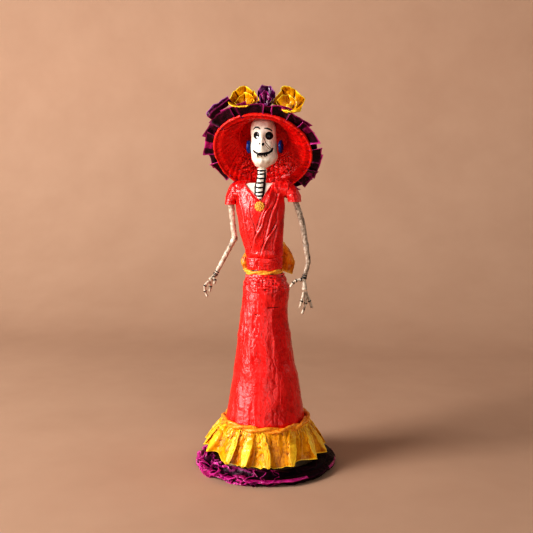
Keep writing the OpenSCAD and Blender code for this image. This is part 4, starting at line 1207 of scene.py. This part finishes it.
def build_ruffle():
    """Box pleats round the rim: broad angular flaps, in front and behind by turns, with magenta painted
    highlights on some edges.
    """
    rng = np.random.default_rng(29)
    flaps = 22
    widths = 0.7 + 0.6 * rng.random(flaps)
    bounds = np.concatenate([[0], np.cumsum(widths)]) / widths.sum() * TAU
    rows, cols = 12, 18
    parts, slots = [], []
    for k in range(flaps):
        in_front = k % 2 == 0
        overlap = 0.05 if in_front else 0.1
        middle = (bounds[k] + bounds[k + 1]) / 2
        a = np.linspace(bounds[k] - overlap, bounds[k + 1] + overlap, cols)[None]
        v = down(0, 1, rows)
        toward_leaf = bump_at(math.remainder(middle - math.radians(222), TAU), 0, 0.4)
        length = (9.8 if in_front else 8.4) * (0.8 + 0.4 * rng.random()) + 4.2 * toward_leaf
        length += 3.6 * bump_at(math.remainder(middle + math.pi / 2, TAU), 0.1, 0.55)
        length += 4.4 * bump_at(math.remainder(middle - math.radians(36), TAU), 0, 0.55)
        slope = 3.4 * (rng.random() - 0.5)
        w = np.linspace(-1, 1, cols)[None]
        level = (1.2 if in_front else 3.8) + 0.8 * rng.random()
        flare = (rng.random() - 0.35) * 3.6
        chord = 1 / np.cos(a - middle)
        root_r = 46.4 - 3.0 * bump_at(math.remainder(middle + math.pi / 2, TAU), 0.1, 0.5)
        r = root_r + (length * chord + 2.4 * (chord - 1) * 20 + slope * w) * v
        spin = a + 0.05 * (rng.random() - 0.5) * v + 0.02 * w * v
        z = level + flare * v ** 1.4 + (0.9 if in_front else -0.5) * (1 - w ** 2)
        z = z + (rng.random() - 0.5) * 3 * w * v
        z = z + np.where(in_front, -1.5 * np.abs(w) ** 6, 0)
        points = xyz(r * np.cos(spin), r * np.sin(spin), z)
        nudge(points, 0.4 * noise(points, 5, 330 + k))
        nudge(points, 0.7 * creases(points, 4.5, 350 + k), (0.2, 0.2, 1))
        verts, faces = thick_sheet(points, 0.5, False)
        parts.append((from_hat(verts), faces))
        panel = (rows - 1) * (cols - 1)
        # Painted highlight: flaps with lit_edge get magenta on their edge faces, one side and half the rim;
        # flaps with lit_patch on a middle patch.
        lit_side, lit_edge, lit_patch = rng.random() < 0.5, rng.random() < 0.4, rng.random() < 0.3
        for index in range(len(faces)):
            row, col = divmod(index % panel, cols - 1)
            side = lit_edge and col == (0 if lit_side else cols - 2)
            rim = lit_edge and row == rows - 2 and (col < 8) == lit_side
            patch = lit_patch and 3 < col < 9 and row > 2
            slots.append(int(lit_edge if index >= 2 * panel else side or rim or patch))
    verts, faces = join_meshes(parts)
    place(make_mesh("brim_ruffle_paper", verts, faces, [PURPLE, MAGENTA], slots, 30), "head", "brim_ruffle")


def shell(rim, root, mid_y, behind, ahead, folds, seed, crush, bulge):
    """Fan-folded paper cup: rim points (x, z) in order, high ones at the back, low ones in front."""
    rim = np.array(list(rim) + [rim[0]], float)
    per_fold, rows = 20, 26
    run = run_length(rim)
    steps = np.linspace(0, run[-1], folds * per_fold, endpoint=False)
    edge_x, edge_z = np.interp(steps, run, rim[:, 0]), np.interp(steps, run, rim[:, 1])
    high = (edge_z - edge_z.min()) / (edge_z.max() - edge_z.min())
    phase = (np.arange(folds * per_fold) % per_fold) / per_fold
    fold = 1 - 2 * np.abs(np.sin(math.pi * phase)) ** 0.7
    rng = np.random.default_rng(seed)
    size = np.repeat(0.95 + 0.1 * rng.random(folds), per_fold)
    v = down(0.05, 1, rows)
    depth = -ahead + (behind + ahead) * smoothstep(0.0, 0.55, high)
    x = root[0] + (edge_x - root[0]) * v ** 0.8 * size
    z = root[1] + (edge_z - root[1]) * v * size
    y = mid_y + depth * v ** 0.9 + bulge * np.sin(math.pi * v) * (2 * smoothstep(0.1, 0.5, high) - 1)
    y = y + 1.5 * fold * v * (0.4 + 0.6 * high)
    z = z + 0.6 * fold * v * high
    points = xyz(x, y, z)
    nudge(points, crush * 0.5 * noise(points, 8, seed))
    nudge(points, crush * (0.8 * creases(points, 9, seed + 9, octaves=2) * v), (0.3, 0.9, 0.3))
    return thick_sheet(points, 0.45)


def flower_at(node):
    """Where a flower's petals start: on its round foot."""
    middle, half = box_core(node)
    return middle + (0, 0, 1.5 - half[2])


def flower_stem(node, radius):
    """The twisted paper foot that holds a flower to the brim."""
    foot = flower_at(node)
    path = smooth_path([foot + (0, 0, -1.5), foot + (0.3, 0.2, 2.5), foot + (0, 0, 6.5)], 22)
    points = tube_points(path, radius * (1 - 0.25 * np.linspace(0, 1, 22)), 20)
    nudge(points, 0.5 * creases(points, 3, 470), (1, 1, 0))
    return closed_tube(points)


def build_flower(node, material, stem_r, cups, slots=None):
    """Cups one inside the other on a stem; a cup is its rim, root, offset in y and the rest of shell()."""
    mid_y = flower_at(node)[1]
    skins = [shell(rim, root, mid_y + shift, *rest) for rim, root, shift, *rest in cups]
    skins.append(flower_stem(node, stem_r))
    if slots:
        slots = [slots(n, k) for n, (_, faces) in enumerate(skins) for k in range(len(faces))]
    place(make_mesh(f"{node}_petals", *join_meshes(skins), material, slots, 30), "head", node)


def purple_slot(cup, face):
    """The inner cup's folds are magenta for a little more than half of each row."""
    return int(cup == 1 and face % 23 < 12)


YELLOW_RIGHT_CUPS = [
    ([(-32.6, 361.4), (-29.7, 369.8), (-23.4, 375.5), (-17.1, 376), (-11.4, 373.2), (-6.6, 367.6),
      (-3.4, 361.6), (-9.5, 357.4), (-21, 356.2), (-31.2, 357.9)], (-18.1, 353.5), 0, 6, 7, 7, 401, 0.9, 7),
    ([(-27, 361), (-23, 367), (-17, 369.5), (-11, 367), (-8.5, 361), (-13, 356.8), (-21, 356.4)],
     (-18, 353), 1, 3, 4, 4, 411, 1.0, 3)]
YELLOW_LEFT_CUPS = [
    ([(7.3, 361.4), (12.5, 367.3), (18.2, 373.6), (20.1, 375), (25, 373.4), (29.5, 370.7), (34.2, 367.9),
      (39, 363.2), (38, 358.6), (37.1, 350.4), (32.4, 349.5), (25.8, 352.4), (19, 353)],
     (24.6, 351), 0, 6, 6, 6, 431, 1.7, 6),
    ([(13, 362), (20, 368.5), (26.5, 366), (31, 360), (33, 352), (27, 350.5), (19, 353.6)],
     (24, 350), -2, 4, 4, 4, 437, 2.0, 3)]
PURPLE_CUPS = [
    ([(-5.6, 370.3), (-3.7, 373.1), (-0.4, 376.7), (3, 374.6), (6.8, 375.6), (12, 370), (11.4, 365),
      (10.6, 359.5), (8, 355.4), (-2, 355), (-5.4, 360)], (2.8, 353), 0, 5, 4, 5, 461, 1.5, 4),
    ([(-3, 367), (1.5, 371.5), (6.5, 368.5), (9, 362), (6, 356), (-1, 356)],
     (2.6, 353), -3, 2, 3, 5, 466, 1.5, 2)]


def build_leaf():
    """Long paper leaf folded along its middle, from the ruffle up behind the right yellow flower."""
    mid_y = box_mid("hat_leaf", 1)
    rows, cols = 44, 18
    t = down(0, 1, rows)
    w = np.linspace(-1, 1, cols)[None]
    spine = smooth_path([(-50.6, mid_y - 1, 346.2), (-46.6, mid_y - 1.5, 352), (-39, mid_y, 357.6),
        (-31.5, mid_y + 1.5, 363.6)], rows)
    tangent = np.gradient(spine, axis=0)
    tangent /= np.linalg.norm(tangent, axis=1, keepdims=True)
    across = np.stack([-tangent[:, 2], 0 * tangent[:, 1], tangent[:, 0]], 1)
    half = 4.4 * np.interp(t, [0, 0.08, 0.3, 0.7, 1], [0.55, 0.95, 1.05, 0.85, 0.8])
    half = half * (1 + 0.12 * np.sin(t * 19))
    points = spine[:, None] + across[:, None] * (w * half)[..., None]
    points[..., 1] += 3.2 * np.abs(w) - 1.6 + 0.6 * creases(points, 8, 480)
    nudge(points, 0.25 * noise(points, 7, 484))
    verts, faces = thick_sheet(points, 0.5, False)
    panel = (rows - 1) * (cols - 1)
    # Painted highlight: the leaf's edge faces and its last columns take the lighter purple.
    slots = [int(k >= 2 * panel or (k % panel) % (cols - 1) > cols - 5) for k in range(len(faces))]
    place(make_mesh("hat_leaf_paper", verts, faces, [PURPLE, PURPLE_LIT], slots, 30), "head", "hat_leaf")


def build_earring(node):
    """Fat painted hoop seen almost edge on, with a knob at the ear."""
    middle, half = box_core(node)
    r, tube = half[2], 2.1
    middle[0] += -1.4 if middle[0] < SKULL_X else 4.6
    rows, cols = 60, 18
    a, b = around(rows).T, around(cols)
    ring = (r - tube) + tube * np.cos(b)
    points = xyz(middle[0] + 1.9 * np.sin(b), middle[1] + ring * np.cos(a), middle[2] + ring * np.sin(a))
    nudge(points, 0.35 * creases(points, 3, 490), (1, 0.5, 0.5))
    hoop = (points.reshape(-1, 3), grid_faces(rows, cols, True, True))
    knob = closed_tube(middle + ball(14, cols, 0) * (0.8, r - 2.6, r - 2.6))
    place(make_mesh(f"{node}_hoop", *join_meshes([hoop, knob]), BLUE), "head", node)


skull_piece = build_skull()
build_face(skull_piece)
build_brim()
build_crown()
build_ruffle()
build_flower("flower_yellow_right", PETAL, 3.2, YELLOW_RIGHT_CUPS)
build_flower("flower_yellow_left", PETAL, 3.2, YELLOW_LEFT_CUPS)
build_flower("flower_purple", [PURPLE_LIT, MAGENTA], 3, PURPLE_CUPS, purple_slot)
build_leaf()
build_earring("earring_right")
build_earring("earring_left")

# ---------------------------------------------------------------- arms and hands

ARM_R = 2.35
FINGER_R = 1.05


def arm_skin(path, radii, cols, seed):
    """Paper-wrapped wire: a tube with an uneven wrap and faint spiral laps."""
    points = tube_points(path, radii, cols)
    spiral = np.sin(np.arange(len(path))[:, None] * 0.55 + np.arange(cols)[None] * TAU / cols)
    centre = path[:, None]
    swell = 1 + 0.05 * noise(points, 3, seed) + 0.035 * spiral + 0.04 * creases(points, 4, seed + 1)
    return centre + (points - centre) * swell[..., None]


def unit_to(first, second):
    """Unit vector from the first point to the second."""
    return (second - first) / np.linalg.norm(second - first)


def build_arm(side, shoulder, elbow, forearm, wrist, seed):
    """One skin from the sleeve over the elbow to the wrist."""
    start = shoulder + (elbow - shoulder) * 0.1
    mid_arm = shoulder + (elbow - shoulder) * 0.55 + np.array([1.5 if side == "left" else -0.3, 0, 0])
    fore_first = forearm[0] if forearm else wrist
    before, after = elbow + unit_to(elbow, mid_arm) * 5.5, elbow + unit_to(elbow, fore_first) * 5.5
    path = smooth_path([start, mid_arm, before, elbow, after, *forearm, wrist], 150)
    run = run_length(path)
    at_elbow = nearest_run(path, run, elbow)
    upper_share = np.clip(run / at_elbow, 0, 1)
    top_r = 1.32 if side == "right" else 1.26
    radii = ARM_R * (top_r - (top_r - 1.06) * upper_share ** 0.8 + 0.2 * bump_at(run, at_elbow, 4.2)
        - 0.24 * smoothstep(4.5, 0, run) - 0.16 * smoothstep(at_elbow + 8, run[-1], run)
        + 0.1 * bump_at(run, run[-1] - 1, 2.5))
    if side == "left":
        radii = radii + 0.22 * bump_at(upper_share, 0.6, 0.3)
    # The left arm takes the darker arm paint as painted shade.
    skin = make_mesh(f"arm_{side}_skin", *closed_tube(arm_skin(path, radii, 22, seed)),
        ARM_SHADE if side == "left" else ARM_BONE)
    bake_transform(skin)
    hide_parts(f"upper_arm_{side}", f"forearm_{side}")
    bands = [band_round(path, run, radii, at_elbow + (run[-1] - at_elbow) * share, width)
        for share, width in ((0.9, 0.8), (0.955, 0.9), (0.985, 0.8))]
    place(make_mesh(f"wrist_{side}_marks", *join_meshes(bands), BLACK), f"forearm_{side}")


def band_round(path, run, radii, at, width):
    """A short brush mark round a limb."""
    stations = np.linspace(at - width / 2, at + width / 2, 5)
    centre = np.stack([np.interp(stations, run, path[:, k]) for k in range(3)], 1)
    r = np.interp(stations, run, np.broadcast_to(radii, run.shape)) * 1.09
    return closed_tube(tube_points(centre, r, 24))


def digit_mesh(path, r_root, r_tip, seed):
    """A wire finger: a tapered skin with knobs at its knuckles."""
    curve = smooth_path(path, 14 * (len(path) - 1) + 8)
    run = run_length(curve)
    radii = r_root + (r_tip - r_root) * run / run[-1]
    for p in path[1:-1]:
        radii = radii * (1 + 0.3 * bump_at(run, nearest_run(curve, run, p), 1.1))
    radii = radii * np.sqrt(np.clip((run[-1] + 0.05 - run) / 0.9, 0.02, 1))
    radii = radii * np.sqrt(np.clip((run + 0.25) / 0.8, 0.1, 1))
    return closed_tube(arm_skin(curve, radii, 14, seed)), curve, run, radii


def build_hand(side, wrist, knuckles, digits, seed):
    """Palm and digits as bones of their own, with black paint at the knuckles."""
    body = f"forearm_{side}"
    path = smooth_path([wrist - (knuckles - wrist) * 0.12, wrist + (knuckles - wrist) * 0.5, knuckles], 24)
    t = np.linspace(0, 1, 24)
    radii = 2.05 + 0.5 * smoothstep(0.2, 0.9, t) - 0.3 * bump_at(t, 0.35, 0.2)
    radii = radii * np.sqrt(np.clip((1.06 - t) / 0.14, 0.02, 1))
    radii = radii * np.sqrt(np.clip((t + 0.05) / 0.1, 0.1, 1))
    palm = make_mesh(f"palm_{side}_bone", *closed_tube(arm_skin(path, radii, 20, seed)), ARM_BONE)
    place(palm, body, f"palm_{side}")
    marks = []
    for k, (node, digit) in enumerate(digits.items()):
        points = [np.asarray(p, float) for p in digit]
        if node.startswith("thumb"):
            points.insert(0, wrist + (knuckles - wrist) * 0.2)
        else:
            points[0] = knuckles + (points[0] - knuckles) * 0.35
        skin, curve, run, r = digit_mesh(points, FINGER_R * 1.32, FINGER_R * 1.12, seed + k)
        place(make_mesh(f"{node}_bone", *skin, ARM_BONE), body, node)
        marks += [band_round(curve, run, r, nearest_run(curve, run, p), 0.9) for p in points[1:-1]]
    place(make_mesh(f"knuckle_{side}_marks", *join_meshes(marks), BLACK), body)


def vec(*values):
    return np.array(values, float)


SHOULDER_RIGHT, ELBOW_RIGHT = vec(-36.9, 3, 271), vec(-32.4, 0, 228.5)
WRIST_RIGHT, KNUCKLES_RIGHT = vec(-51.2, -6, 192), vec(-56, -8.6, 187)
SHOULDER_LEFT, ELBOW_LEFT = vec(27.2, 3, 271), vec(39.6, -3, 223)
FOREARM_BEND_LEFT = vec(42.2, -5, 207)
WRIST_LEFT, KNUCKLES_LEFT = vec(38.6, -9, 190.8), vec(39.9, -11, 179.6)
RIGHT_DIGITS = {
    "thumb_right": [(-51.6, -9.6, 190), (-50, -12, 187.5), (-50.4, -13, 183.6)],
    "index_finger_right": [(-57.6, -10.4, 185.4), (-60.2, -11.5, 182), (-60.2, -11.5, 176.5),
                           (-57.6, -11.5, 170.6)],
    "middle_finger_right": [(-56.6, -7.4, 185.6), (-56, -5.8, 180.6), (-56.7, -6.2, 175)]}
LEFT_DIGITS = {
    "thumb_left": [(35.8, -11.4, 190.2), (31.5, -13, 189.4), (28.7, -14, 187.2), (25.9, -15, 182.9)],
    "index_finger_left": [(38, -13.2, 176.8), (37.3, -14.2, 169.7), (35.4, -15, 162.6)],
    "middle_finger_left": [(40.6, -11, 175.6), (40.8, -11.2, 167.2), (37.4, -12, 156.2)],
    "little_finger_left": [(42.6, -9, 176.9), (44.2, -8, 169), (46.6, -7, 161.6)]}

build_arm("right", SHOULDER_RIGHT, ELBOW_RIGHT, [], WRIST_RIGHT, 501)
build_arm("left", SHOULDER_LEFT, ELBOW_LEFT, [FOREARM_BEND_LEFT], WRIST_LEFT, 521)
build_hand("right", WRIST_RIGHT, KNUCKLES_RIGHT, RIGHT_DIGITS, 541)
build_hand("left", WRIST_LEFT, KNUCKLES_LEFT, LEFT_DIGITS, 561)
